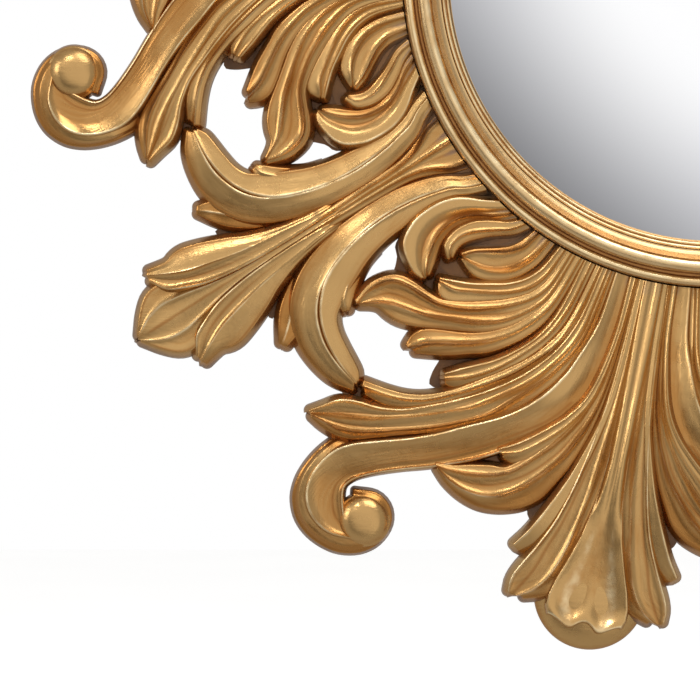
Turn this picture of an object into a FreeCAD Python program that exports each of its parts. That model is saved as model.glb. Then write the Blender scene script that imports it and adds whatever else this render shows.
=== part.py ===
import FreeCAD, Part
import math
import os

# Convex butlers mirror: a round, domed looking-glass in a carved and gilded frame.
#
# The frame stands upright: +Z is up, +X is to the right as seen by a viewer, and
# the glass faces -Y.  The origin is the middle of the wall plane (Y = 0), against
# which the wall bumpers rest.  All lengths are in millimetres.
#
# The carved border is drawn once, as half of one repeat, in two coordinates:
# phi, which runs from 0 on a palmette axis to 45 on a fan axis, and d, the
# distance outwards from the moulding.  Every frond is a handful of smooth rails
# that run from root to tip; the faces between neighbouring rails are ruled, and
# drafted side walls drop from the outer rails to the flat back of the carving.

V = FreeCAD.Vector

# ---------------------------------------------------------------- driving sizes
OVERALL_RADIUS = 455.0        # out to the furthest scroll
SIGHT_RADIUS = 175.6          # visible edge of the glass
MOULDING_WIDTH = 29.4         # sight edge to the root of the carving
REPEATS = 4                   # palmettes (and fans) round the ring
FIRST_PALMETTE = 11.5         # degrees from straight down, clockwise from the front
WIDE_SHARE = 46.2 / 90.0      # share of a repeat between a palmette and its next fan
WALL_GAP = 8.0                # thickness of the wall bumpers
RING_THICKNESS = 12.0         # backing ring
RING_REACH = 57.0             # backing ring beyond the moulding
ROOT_HEIGHT = 13.0            # carving above the backing ring beside the moulding
CREST_HEIGHT = 25.0           # carving at its fullest
TIP_HEIGHT = 15.0             # carving at its outermost tips
WALL_DRAFT = 3.0              # how far the side walls spread towards the back
JOINT_GAP = 0.3               # open joint between two carved blocks
GLASS_COVER = 8.4             # rim of the glass hidden under the moulding
GLASS_RISE = 28.0             # height of the dome
GLASS_THICKNESS = 3.0
BOARD_THICKNESS = 6.0
BUTTONS = 6                   # turn buttons that hold the back board
BUTTON_THICKNESS = 2.5
SCREW_RADIUS = 2.0
D_RING_ANGLE = 40.0           # hangers left and right of the top, degrees
D_RING_WIRE = 3.0             # wire diameter
D_RING_INSIDE = 20.0          # clear width of the loop

# ------------------------------------------------------------------- set-out
MOULDING_RADIUS = SIGHT_RADIUS + MOULDING_WIDTH
GLASS_RADIUS = SIGHT_RADIUS + GLASS_COVER
DRAWN_REACH = 250.0                                    # furthest d in the drawing
REACH = (OVERALL_RADIUS - MOULDING_RADIUS) / DRAWN_REACH
REPEAT = 360.0 / REPEATS
WIDE = REPEAT * WIDE_SHARE
NARROW = REPEAT - WIDE
BACK_Y = -(WALL_GAP + RING_THICKNESS)                  # flat back of the carving
CREST_AT = 100.0                                       # drawn d where the carving is fullest
RAIL_SPACING = 16.0                                    # between the knots of a rail
ROOT_EASE = 0.3                                        # between carving and moulding
ROOT_PLATE = 5.6                                       # thin ground beside the moulding
RING_RADIUS = MOULDING_RADIUS + RING_REACH
OUT = V(0, -1, 0)                                      # from the wall to the viewer

# --------------------------------------------------------------- carved border
# Each frond: (draft on the right, draft on the left, rails).  Each rail: (drop
# below the crest line, [(phi, d), ...]).  Rails run from low phi to high phi.
PALMETTE = {
    "lobe_inner": (1, 1, [
        (-6.0, [(1.3, 4), (1.1, 40), (0.9, 75), (0.95, 105), (1.0, 130), (1.2, 150), (1.6, 172), (2.2, 190),
                (2.8, 203), (3.3, 211.5), (4.3, 216.5), (5.5, 220)]),
        (0.0, [(1.7, 4), (1.6, 60), (1.9, 110), (2.2, 140), (2.6, 160), (3.2, 185), (4.0, 203), (5.0, 214),
               (6.1, 220.3)]),
        (-2.5, [(2.1, 4), (2.2, 60), (2.7, 110), (3.4, 140), (4.2, 168), (4.9, 185), (5.4, 200), (6.0, 211),
                (6.55, 220.3)]),
        (-0.5, [(2.3, 4), (2.6, 70), (3.1, 105), (3.9, 140), (4.7, 165), (5.6, 183), (6.35, 196), (6.8, 204),
                (7.05, 212), (6.95, 219.5)])]),
    "lobe_outer": (1, 1, [
        (-5.0, [(1.5, 4), (1.5, 45), (1.8, 75), (2.4, 100), (3.0, 120), (3.7, 142), (4.6, 168), (5.4, 184),
                (6.4, 192.8)]),
        (-1.5, [(1.8, 4), (1.8, 45), (2.1, 78), (2.7, 103), (3.4, 125), (4.4, 150), (5.3, 170), (6.3, 185),
                (7.2, 192)]),
        (0.0, [(2.3, 4), (2.2, 45), (2.5, 80), (3.1, 100), (3.9, 120), (4.7, 138), (5.6, 155), (6.4, 169),
               (7.0, 179), (7.8, 189.5)])]),
    "side_leaf": (1, 1, [
        (-5.0, [(2.7, 4), (2.9, 40), (3.2, 70), (3.7, 95), (4.4, 115), (5.3, 132), (6.3, 146), (7.1, 156),
                (8.2, 163.5), (9.4, 168.5), (10.8, 172.5), (12.4, 174.8), (14.2, 174), (16.0, 170.5),
                (17.4, 165.5)]),
        (0.0, [(2.9, 4), (3.1, 40), (3.5, 75), (4.3, 98), (5.7, 120), (6.75, 132), (7.95, 143), (9.15, 153),
               (10.4, 161), (12.0, 167), (13.9, 169.5), (15.8, 168.6), (17.5, 165)]),
        (-3.5, [(3.05, 4), (3.3, 40), (3.8, 75), (4.8, 98), (6.4, 121), (7.45, 131), (8.5, 140), (9.85, 149),
                (11.6, 158), (13.65, 163.8), (15.9, 165.8), (17.6, 164.5)]),
        (-0.5, [(3.2, 4), (3.5, 40), (4.2, 75), (5.4, 97), (7.2, 117), (8.4, 128), (9.5, 137), (10.8, 146.5),
                (12.4, 153), (14.3, 158.2), (16.2, 162), (17.7, 164)]),
        (-3.0, [(3.35, 4), (3.6, 40), (4.5, 75), (6.0, 98), (8.0, 118), (9.2, 129), (10.2, 138), (11.4, 146),
                (13.0, 149), (14.85, 154.5), (16.2, 159.5), (17.75, 163.3)])]),
    "small_leaf": (1, 1, [
        (-4.0, [(3.1, 4), (3.2, 35), (3.8, 66), (4.6, 87), (5.9, 103), (7.4, 116), (8.8, 127), (9.9, 135.5),
                (10.9, 139.8), (12.0, 139)]),
        (-0.5, [(3.35, 4), (3.4, 35), (4.05, 66), (4.9, 86), (6.3, 101.5), (7.9, 114.5), (9.5, 125.5),
                (10.8, 133), (12.3, 137.5)]),
        (-2.5, [(3.6, 4), (3.6, 35), (4.25, 65), (5.15, 85), (6.6, 100.5), (8.3, 113), (9.9, 123.5),
                (11.2, 131), (12.5, 136.6)]),
        (0.0, [(4.0, 4), (3.9, 35), (4.5, 64), (5.4, 84), (6.9, 99.5), (8.7, 112), (10.3, 122.5),
               (11.5, 129.8), (12.7, 135.6)])]),
    "stem": (1, 1, [
        (-6.0, [(4.5, 4), (4.5, 30), (4.8, 55), (5.3, 75), (6.1, 92), (7.5, 107), (9.5, 120), (11.6, 131),
                (13.4, 141), (15.0, 150), (16.8, 159), (18.6, 168), (20.4, 177), (21.9, 186), (23.0, 194),
                (23.7, 201), (23.95, 208), (23.6, 214), (23.1, 219), (22.5, 224), (21.8, 228), (20.5, 229.3)]),
        (-4.0, [(5.2, 4), (5.3, 30), (5.5, 55), (6.1, 75), (7.1, 90), (8.8, 105), (11.0, 118), (13.0, 130),
                (14.8, 141), (16.8, 152), (18.9, 164), (20.9, 174), (22.4, 184), (23.5, 193), (24.3, 201),
                (24.55, 209), (24.3, 216), (23.8, 222), (23.1, 227), (22.0, 230.3), (20.5, 230.3)]),
        (-1.2, [(6.0, 4), (6.1, 30), (6.6, 55), (7.6, 78), (9.3, 95), (12.0, 112), (14.5, 127), (16.8, 141),
                (19.2, 154), (21.5, 167), (23.3, 179), (24.6, 190), (25.4, 200), (25.7, 209), (25.5, 218),
                (24.9, 226), (23.9, 231.5), (22.3, 233.6), (20.6, 231.3)]),
        (0.0, [(6.67, 4), (6.75, 30), (7.1, 42), (7.6, 52), (8.2, 63), (9.0, 76), (10.9, 96), (13.65, 115),
               (17.2, 134), (19.3, 147), (21.6, 160), (23.6, 171), (25.2, 181), (26.2, 190), (26.65, 199),
               (26.75, 208), (26.6, 217), (26.1, 226), (25.2, 233), (24.0, 237), (22.6, 237.6), (20.9, 233.2)])]),
    "scroll": (0, 1, [
        (-4.5, [(25.6, 180), (26.3, 188), (26.6, 196), (26.65, 205), (26.6, 215), (26.2, 224), (25.4, 231.5),
                (24.2, 236), (22.8, 237), (21.5, 235), (20.6, 230.5), (20.1, 225), (19.9, 219), (20.1, 213.5),
                (20.7, 210), (21.4, 209.3), (22.2, 211.5)]),
        (-6.0, [(26.2, 180), (26.9, 188), (27.2, 196), (27.35, 205), (27.3, 215), (26.9, 225), (26.1, 234),
                (24.8, 241), (23.3, 243.5), (21.6, 242), (20.2, 236), (19.4, 228), (19.1, 219), (19.4, 211),
                (20.2, 205.5), (21.3, 204.5), (22.7, 209)]),
        (-9.0, [(26.7, 180), (27.2, 188), (27.5, 196), (27.65, 205), (27.6, 215), (27.3, 225), (26.6, 235),
                (25.3, 243.5), (23.6, 247.3), (21.6, 246), (20.0, 239.5), (19.0, 230), (18.65, 219),
                (18.9, 209.5), (19.8, 202.5), (21.2, 200.7), (22.9, 206.5)])]),
    "upper_tip": (1, 1, [
        (-6.0, [(7.3, 4), (7.5, 30), (7.9, 45), (8.7, 62), (9.8, 78), (11.2, 92), (13.0, 107), (14.8, 120),
                (17.2, 133), (19.7, 145), (22.3, 158), (24.2, 169), (25.7, 178.5), (27.2, 184), (28.8, 186),
                (30.1, 186)]),
        (-0.5, [(7.8, 4), (8.0, 30), (8.3, 45), (8.9, 57), (10.4, 75), (11.8, 88), (13.5, 102), (15.4, 118),
                (17.9, 132), (20.4, 145.5), (23.0, 158.5), (25.0, 169.5), (26.7, 177.5), (28.5, 182.5),
                (30.2, 185.6)]),
        (-3.0, [(8.1, 4), (8.4, 30), (8.6, 45), (9.3, 60), (10.9, 77), (12.4, 90), (14.2, 104), (16.0, 119),
                (18.8, 135), (21.4, 148), (24.0, 161), (26.0, 170.5), (27.7, 177.3), (29.1, 181.5),
                (30.3, 185.2)]),
        (0.0, [(8.5, 4), (8.7, 30), (9.0, 45), (9.9, 60), (11.5, 77), (13.0, 90), (15.2, 105), (17.3, 119),
               (19.7, 131), (22.3, 145), (25.0, 159), (27.0, 168.5), (28.6, 175.5), (29.6, 180.5),
               (30.4, 184.8)]),
        (-2.8, [(8.9, 4), (9.2, 30), (9.6, 45), (10.6, 62), (12.3, 79), (14.2, 94), (16.6, 110), (18.5, 122),
                (20.0, 131.5), (22.0, 141), (23.5, 148.5), (25.0, 156), (26.7, 163.5), (28.3, 171.5),
                (29.6, 179), (30.5, 184.4)]),
        (-0.5, [(9.3, 4), (9.6, 30), (10.1, 45), (11.2, 62), (13.0, 79), (15.0, 94), (17.5, 110), (19.7, 123),
                (21.6, 134), (23.4, 144.5), (25.0, 151.5), (26.3, 155.8), (27.5, 158.9), (28.6, 163),
                (29.4, 168), (30.0, 176), (30.6, 184)])]),
    "short_tip": (1, 1, [
        (-3.5, [(9.5, 4), (9.9, 30), (10.6, 45), (11.9, 62), (13.7, 80), (15.7, 95), (18.0, 110), (20.2, 124),
                (22.2, 135), (24.0, 144), (25.3, 149.5), (26.5, 153)]),
        (0.0, [(9.95, 4), (10.3, 28), (10.9, 45), (11.8, 60), (13.4, 74), (15.4, 89), (17.9, 105), (19.8, 117),
               (21.8, 129), (23.6, 137), (25.4, 143.5), (27.2, 149)]),
        (-2.0, [(10.4, 4), (10.8, 28), (11.3, 45), (12.4, 59), (13.9, 73), (15.9, 87), (18.3, 103),
                (20.2, 116.5), (22.2, 128), (24.0, 135.5), (25.8, 141), (27.7, 145)])]),
    "inner_lobe": (1, 1, [
        (-5.0, [(11.1, 4), (11.5, 28), (12.0, 45), (13.1, 60), (14.6, 74), (16.4, 87), (18.2, 99), (19.5, 108),
                (20.5, 113.8), (21.4, 114.8)]),
        (-0.5, [(11.6, 4), (11.9, 28), (12.5, 45), (13.5, 59), (15.2, 74), (17.0, 88), (18.7, 99), (20.3, 107.5),
                (21.7, 113)]),
        (-3.0, [(12.1, 4), (12.3, 28), (12.9, 44), (14.0, 59), (15.7, 73), (17.5, 87), (19.3, 98), (20.7, 105.5),
                (21.9, 111.8)]),
        (0.0, [(12.6, 4), (12.9, 30), (13.4, 46), (14.5, 61), (16.2, 75), (17.9, 86.5), (19.3, 94), (20.6, 101),
               (22.0, 110)])]),
    "leaf_lobe": (1, 1, [
        (-4.0, [(13.2, 4), (13.8, 30), (14.6, 48), (16.0, 62), (17.7, 74), (19.4, 83.5), (21.0, 89.5),
                (22.3, 95), (23.6, 100.3), (25.0, 105.3), (26.3, 110)]),
        (0.0, [(13.7, 4), (14.3, 30), (15.3, 46), (17.0, 61), (19.0, 73), (20.8, 81.5), (22.6, 88.5),
               (24.4, 95), (26.0, 102), (27.1, 110.8)]),
        (-3.0, [(14.3, 4), (14.9, 28), (16.0, 44), (18.0, 60), (19.9, 70.5), (21.8, 78.3), (23.7, 84.5),
                (25.6, 90), (27.2, 96.5), (27.75, 103), (27.6, 110)])]),
    "long_leaf": (1, 1, [
        (-4.0, [(14.4, 4), (15.0, 28), (16.1, 43), (18.1, 59), (20.2, 69.5), (22.3, 77), (24.5, 83.5),
                (26.6, 90.5), (28.4, 97), (30.2, 102), (31.6, 103.8), (32.9, 104.2), (33.8, 107), (34.7, 112)]),
        (-1.0, [(14.8, 4), (15.4, 28), (16.6, 43), (18.9, 58), (21.2, 67.5), (23.6, 75), (26.0, 81.5),
                (28.2, 88), (30.2, 92.5), (32.0, 97), (33.5, 103), (34.85, 112.5)]),
        (-4.5, [(15.2, 4), (15.8, 27), (17.1, 42), (19.5, 54.5), (21.8, 63), (23.3, 68.5), (25.3, 75),
                (27.4, 81.2), (29.2, 85), (31.0, 87.5), (32.5, 91), (33.7, 96.5), (34.95, 112.8)]),
        (0.0, [(15.6, 4), (16.2, 24), (17.5, 38), (20.0, 50.5), (22.3, 59.5), (24.5, 67.5), (26.5, 73.3),
               (28.2, 77), (30.2, 79), (31.8, 80.5), (33.2, 83), (34.2, 87), (34.9, 94), (35.2, 103),
               (35.1, 112.6)]),
        (-2.5, [(16.0, 4), (16.7, 22), (18.1, 36), (20.6, 48), (22.8, 56.5), (25.0, 64.8), (26.8, 71),
                (28.2, 74.8), (30.2, 76.5), (31.9, 77.6), (33.4, 79.8), (34.5, 83.8), (35.2, 90), (35.6, 99),
                (35.3, 112.2)])]),
    "short_leaf": (1, 1, [
        (-4.0, [(16.3, 4), (16.9, 21), (18.3, 35), (20.9, 47), (23.2, 55.6), (25.3, 63.5), (27.0, 69.8),
                (28.4, 71.2), (29.5, 66.5)]),
        (-0.5, [(16.8, 4), (17.4, 20), (18.7, 33), (21.0, 43.5), (23.5, 51.5), (25.8, 58.5), (27.6, 63.5),
                (29.6, 65.3)]),
        (-3.0, [(17.2, 4), (17.8, 19), (19.1, 31), (21.2, 41), (23.5, 48.7), (25.7, 55.2), (27.4, 60),
                (29.7, 64.4)]),
        (0.0, [(17.7, 4), (18.5, 18), (19.8, 29.5), (21.8, 39), (24.0, 46.3), (26.0, 53), (27.8, 58),
               (29.8, 63.4)])]),
    "root_leaf": (1, 1, [
        (-3.0, [(19.2, 4), (19.6, 13), (20.3, 22.5), (21.4, 31), (22.8, 37.8), (24.3, 42.8), (25.9, 46.2),
                (27.4, 46.6), (29.3, 44.4)]),
        (0.0, [(20.1, 4), (20.7, 14), (21.7, 24), (23.0, 31.5), (24.8, 37.5), (26.8, 41.5), (29.5, 43.4)]),
        (-3.0, [(21.1, 4), (21.6, 14), (22.6, 24), (24.0, 31.5), (25.8, 37), (27.8, 40.3), (29.6, 42.8)]),
        (0.0, [(22.2, 4), (22.9, 12), (23.7, 17.5), (24.6, 22), (25.9, 26.5), (27.4, 31.5), (28.7, 36.5),
               (29.7, 42.2)]),
        (-4.0, [(23.0, 4), (23.8, 11.5), (24.8, 18.5), (26.2, 24.5), (27.7, 30), (29.0, 35.5), (29.9, 41.6)])]),
    "inner_curl": (1, 1, [
        (-4.0, [(24.4, 4), (25.7, 9), (27.3, 15), (28.7, 20.5), (29.9, 27), (30.8, 33), (31.2, 38.5),
                (31.1, 43.5), (30.8, 47.5)]),
        (-1.0, [(25.2, 4), (26.7, 9), (28.4, 15), (29.9, 21), (31.1, 27), (31.9, 33.5), (32.1, 39.5),
                (31.9, 44.5), (30.95, 49)]),
        (-2.0, [(26.1, 4), (27.6, 7), (29.2, 11.5), (30.7, 16.5), (31.9, 22), (32.6, 28), (32.95, 34.5),
                (32.9, 40), (32.5, 45.5), (31.1, 50)])]),
    "outer_curl": (1, 1, [
        (-5.0, [(27.2, 4), (28.9, 8.5), (30.6, 13.5), (32.1, 19), (33.1, 25.5), (33.7, 32), (33.8, 39),
                (33.5, 46), (32.8, 53), (32.1, 59), (31.5, 66.5)]),
        (-1.0, [(28.0, 4), (30.1, 9), (32.0, 14.8), (33.4, 21), (34.3, 28), (34.6, 36), (34.5, 44), (33.9, 52),
                (33.1, 59), (32.1, 65.5), (31.5, 68.6)]),
        (-4.0, [(29.0, 4), (31.2, 9.8), (33.0, 16.5), (34.2, 23.5), (35.0, 30.5), (35.5, 38), (35.5, 45),
                (35.1, 52), (34.2, 59), (32.8, 66), (31.55, 69.7)]),
        (-0.5, [(30.0, 4), (32.4, 9), (34.3, 16), (35.7, 23), (36.6, 31), (37.0, 39), (36.8, 47), (36.2, 55),
                (35.0, 62), (33.3, 68.5), (31.7, 70.5)]),
        (0.0, [(31.2, 4), (33.4, 8), (35.2, 13.5), (36.5, 19), (37.4, 25.5), (37.9, 32), (38.15, 41),
               (38.1, 49), (37.6, 57), (36.9, 63), (35.9, 67), (34.4, 70), (33.0, 71.7), (31.9, 71.2)])]),
}
FAN = {
    "hook": (1, 1, [
        (-4.0, [(36.0, 4), (37.2, 9), (38.9, 17.5), (39.8, 27), (40.5, 36), (41.0, 46), (41.35, 57),
                (41.45, 68), (41.3, 80), (41.0, 92), (40.5, 104), (39.7, 116), (38.8, 127), (37.3, 137),
                (35.6, 143.5), (33.8, 148), (31.6, 150.5), (29.4, 151.5)]),
        (-0.8, [(36.7, 4), (38.0, 8.5), (39.7, 16.5), (40.7, 25.5), (41.4, 34.5), (41.9, 44), (42.3, 55),
                (42.4, 67), (42.3, 79), (42.0, 92), (41.5, 105), (40.7, 119), (39.6, 131.5), (38.2, 141.5),
                (36.4, 149), (34.3, 153.5), (31.8, 155), (29.2, 153.3)]),
        (0.0, [(37.6, 4), (38.9, 8.5), (40.2, 14.5), (41.3, 21.5), (42.1, 29.5), (42.7, 38), (43.15, 47),
               (43.4, 57), (43.5, 68), (43.45, 80), (43.3, 92), (42.9, 106), (42.2, 120), (41.2, 133),
               (39.8, 144.5), (37.9, 153.5), (35.6, 159), (33.2, 160.8), (31.0, 159.8), (29.0, 155)])]),
    "hook_side_tip": (1, 1, [
        (-2.0, [(40.8, 100), (40.3, 118), (39.3, 134), (38.1, 146), (37.0, 155), (36.7, 165.5)]),
        (-0.7, [(41.8, 100), (41.3, 119), (40.2, 136), (39.0, 148.5), (37.9, 158), (37.05, 166.8)]),
        (0.0, [(43.0, 100), (42.4, 119), (41.45, 136), (40.25, 149.5), (39.0, 158.5), (37.3, 167.5)])]),
    "hook_inner": (1, 1, [
        (-2.5, [(34.6, 4), (35.9, 9.5), (37.3, 17.5), (38.3, 26.5), (38.8, 36), (38.85, 46), (38.7, 57),
                (38.7, 70), (38.5, 81), (38.1, 92), (37.5, 102), (36.9, 112), (36.3, 121), (35.6, 129),
                (34.3, 134.5), (32.6, 138.3), (31.0, 141.5), (29.8, 144.5), (29.2, 148.5)]),
        (-1.5, [(34.9, 4), (36.2, 9.3), (37.9, 17.5), (38.9, 26.5), (39.5, 36), (39.9, 46), (40.1, 57),
                (40.1, 69), (39.9, 80), (39.5, 91), (38.9, 101), (38.2, 111), (37.4, 120), (36.5, 129),
                (35.0, 136.5), (33.3, 141.5), (31.4, 145.2), (29.2, 149.5)]),
        (0.0, [(35.3, 4), (36.6, 9.3), (38.3, 18), (39.3, 27.5), (40.0, 37), (40.5, 47), (40.85, 57),
               (41.0, 69), (40.95, 80), (40.7, 91), (40.3, 102), (39.7, 113), (38.9, 122), (37.6, 131),
               (36.0, 138.5), (34.1, 144), (31.8, 148), (29.2, 150.5)])]),
    "hook_barb": (1, 1, [
        (-2.5, [(38.4, 80), (38.0, 91), (37.3, 100.5), (36.5, 108.5), (35.7, 115.5), (35.2, 120)]),
        (-0.5, [(39.0, 80), (38.6, 92), (38.0, 102), (37.2, 111), (36.2, 118.5), (35.3, 121.3)]),
        (-2.0, [(39.5, 80), (39.2, 93), (38.6, 104), (37.8, 113.5), (36.7, 121), (35.5, 122.8)])]),
    "side_lobe": (1, 1, [
        (-3.0, [(43.55, 80), (43.5, 98), (43.3, 112), (42.9, 126), (42.4, 137), (41.8, 148), (41.1, 158),
                (40.6, 167), (40.15, 177), (39.85, 187), (39.95, 194), (40.3, 200), (40.25, 207), (40.15, 213)]),
        (-1.0, [(43.7, 80), (43.65, 100), (43.35, 118), (42.95, 136), (42.3, 154), (41.6, 171), (41.1, 186),
                (40.8, 199), (40.35, 214)]),
        (0.0, [(43.85, 80), (43.8, 102), (43.5, 120), (43.2, 140), (42.85, 158), (42.4, 174), (41.9, 190),
               (41.3, 202), (40.55, 214.5)]),
        (-2.0, [(44.0, 80), (44.1, 102), (44.0, 125), (43.8, 146), (43.5, 165), (43.0, 183), (42.4, 197),
                (41.6, 207), (40.75, 214.8)]),
        (0.0, [(44.2, 80), (44.4, 104), (44.5, 122), (44.45, 145), (44.25, 164), (43.8, 184), (43.1, 198),
               (42.4, 208), (41.1, 214.8)])]),
}
# Fronds that straddle an axis: rails of one side, from the axis outwards.
SPINE = [
    (-1.0, [(0, 4), (0, 50), (0, 100), (0, 150), (0, 200), (0, 224)]),
    (0.0, [(1.2, 4), (1.2, 25), (0.9, 50), (0.65, 85), (0.6, 120), (0.85, 160), (1.5, 192), (1.9, 212),
           (1.7, 228.5)]),
    (-6.0, [(2.2, 4), (2.1, 25), (1.8, 55), (1.5, 85), (1.25, 120), (1.5, 150), (1.95, 172), (2.6, 190),
            (3.1, 203), (3.5, 214), (3.0, 226)]),
]
FAN_CENTRE = [
    (-1.5, [(45, 60), (45, 120), (45, 180), (45, 240)]),
    (-0.3, [(44.75, 60), (44.75, 95), (44.75, 130), (44.65, 160), (44.4, 182), (44.0, 200), (43.95, 215),
            (44.3, 228), (44.9, 240)]),
    (-5.0, [(44.5, 60), (44.5, 95), (44.5, 130), (44.4, 155), (44.1, 174), (43.5, 190), (42.85, 203),
            (42.75, 213), (43.2, 224), (44.0, 233), (44.75, 239)]),
]
SPANDREL = [
    (0.0, [(45, 4), (45, 20), (45, 45), (45, 75), (45, 110)]),
    (-3.0, [(43.2, 4), (43.7, 11), (44.2, 22), (44.5, 35), (44.7, 50), (44.75, 75), (44.8, 110)]),
    (-1.0, [(40.5, 4), (41.2, 9), (42.2, 15), (43.1, 21), (43.75, 28), (44.1, 37), (44.3, 48), (44.4, 62),
            (44.5, 80), (44.6, 110)]),
    (-5.5, [(39.6, 4), (40.6, 10), (41.6, 16.5), (42.5, 23.5), (43.2, 31), (43.6, 40), (43.8, 52),
            (43.95, 66), (44.1, 84), (44.3, 110)]),
]
# Ground left at the bottom of the recesses: (height, outline).
PALMETTE_GROUND = [
    (5.0, [(25.5, 50), (38.1, 50), (37.9, 62), (37.3, 69.5), (36.1, 73), (35.3, 78), (34.6, 82), (30, 80),
           (26, 66)]),
    (5.0, [(17.5, 76), (19.4, 80), (23.5, 98), (23.5, 106), (23.3, 116), (22.6, 122), (19, 114), (17, 95)]),
    (6.0, [(10.2, 136), (12.8, 132), (15.5, 142), (18.3, 162), (17.6, 165), (14, 153), (10.5, 147)]),
    (6.0, [(4.6, 128), (6.0, 138), (7.7, 164), (7.4, 170), (6.6, 172), (5, 152)]),
]
FAN_GROUND = [
    (6.0, [(42.9, 112), (42.2, 132), (40.9, 149), (39.6, 161), (40.1, 163), (41.5, 152), (43, 130)]),
]
# Bosses: the eye of each scroll, and the ball under the lip of the palmette.
EYE_PHI = 21.05
EYE_D = 218.5
EYE_RADIUS = 10.8
EYE_DOME = 13.0               # radius of its rounded top
EYE_FLOOR = 16.0
BALL_D = 208.0
BALL_RADIUS = 36.7
BALL_HEIGHT = 9.0             # straight part
BALL_RISE = 4.0               # rounded part
# Joint line between a palmette block and a fan block.
JOINT = [(30.5, -30), (31.8, 2), (33.9, 6.5), (35.6, 11.5), (37.0, 18.5), (38.0, 26), (38.45, 34), (38.5, 44),
         (38.35, 54), (38.0, 63), (37.4, 75), (36.9, 90), (36.35, 103), (36.0, 110), (35.2, 117), (33.8, 122),
         (31.0, 128), (28.7, 138), (28.45, 145), (28.45, 151), (28.9, 158), (30.0, 166), (34, 190), (36, 330)]


def angle_of(phi, side):
    """Degrees from straight down for a drawing coordinate.

    side is +1 for the wide half of a repeat and -1 for its narrow half; phi
    below 0 or above 45 carries on into the half next to it.
    """
    near = WIDE if side > 0 else NARROW
    far = NARROW if side > 0 else WIDE
    if phi < 0:
        turn = phi * far / 45.0
    elif phi > 45:
        turn = near + (phi - 45.0) * far / 45.0
    else:
        turn = phi * near / 45.0
    return FIRST_PALMETTE + side * turn


def polar(angle, radius, height=0.0):
    """Point at an angle from straight down, a radius, and a height over the carving's back."""
    a = math.radians(angle)
    return V(-radius * math.sin(a), BACK_Y - height, -radius * math.cos(a))


def crest_line(d):
    """Height of the ridges at a distance d from the moulding: low, full, low again."""
    if d < CREST_AT:
        t = max(d, 0.0) / CREST_AT
        return ROOT_HEIGHT + (CREST_HEIGHT - ROOT_HEIGHT) * t * t * (3 - 2 * t)
    t = min((d - CREST_AT) / (DRAWN_REACH - CREST_AT), 1.0)
    return CREST_HEIGHT + (TIP_HEIGHT - CREST_HEIGHT) * t * t * (3 - 2 * t)


def place(point, side, turn, drop=0.0):
    """Model point on the carved surface for a (phi, d) pair."""
    phi, d = point
    height = crest_line(d) + drop
    return polar(angle_of(phi, side) + turn, MOULDING_RADIUS + d * REACH, height)


def smooth_points(points, count, marks=None):
    """Evenly spaced points on a smooth curve through the given ones.

    marks, when given, are running lengths to space the points by, so that
    several rails of very different length can be cut at matching places.
    """
    fine = []
    n = len(points)
    for i in range(n - 1):
        p1 = points[i]
        p2 = points[i + 1]
        m1 = p2.sub(p1) if i == 0 else p2.sub(points[i - 1]).multiply(0.5)
        m2 = p2.sub(p1) if i == n - 2 else points[i + 2].sub(p1).multiply(0.5)
        reach = p2.sub(p1).Length
        m1 = V(m1) * (min(1.0, 1.2 * reach / max(m1.Length, 1e-6)))
        m2 = V(m2) * (min(1.0, 1.2 * reach / max(m2.Length, 1e-6)))
        for k in range(12):
            t = k / 12.0
            a = 2 * t ** 3 - 3 * t ** 2 + 1
            b = t ** 3 - 2 * t ** 2 + t
            c = 3 * t ** 2 - 2 * t ** 3
            e = t ** 3 - t ** 2
            fine.append(p1 * a + m1 * b + p2 * c + m2 * e)
    fine.append(points[-1])
    run = [0.0]
    for i in range(len(fine) - 1):
        if marks:
            run.append(run[-1] + (marks[i // 12 + 1] - marks[i // 12]) / 12.0)
        else:
            run.append(run[-1] + fine[i + 1].sub(fine[i]).Length)
    result = []
    j = 0
    for k in range(count):
        goal = run[-1] * k / (count - 1)
        while j < len(run) - 2 and run[j + 1] < goal:
            j += 1
        t = (goal - run[j]) / max(run[j + 1] - run[j], 1e-9)
        result.append(fine[j] * (1 - t) + fine[j + 1] * t)
    return result


def spline(points):
    """Curve that runs smoothly through evenly spaced points."""
    line = Part.BSplineCurve()
    line.interpolate(Points=points, Parameters=[float(i) for i in range(len(points))])
    return line


def ruled(first, second):
    """Face of straight lines between two curves of the same make."""
    surface = Part.BSplineSurface()
    poles = [first.getPoles(), second.getPoles()]
    turns = first.getMultiplicities()
    surface.buildFromPolesMultsKnots(poles, [2, 2], turns, [0, 1], first.getKnots(), False, False, 1, first.Degree)
    return surface.toShape()


def facet(a, b, c, d):
    """Four-cornered face, with a to b opposite c to d."""
    surface = Part.BSplineSurface()
    surface.buildFromPolesMultsKnots([[a, b], [c, d]], [2, 2], [2, 2], [0, 1], [0, 1], False, False, 1, 1)
    return surface.toShape()


def side_step(points, i, way):
    """Unit vector in the carving's plane, square to a rail at its i-th point."""
    a = points[max(i - 1, 0)]
    b = points[min(i + 1, len(points) - 1)]
    along = b.sub(a)
    step = V(along.z, 0, -along.x)
    return step.normalize() * way


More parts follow.
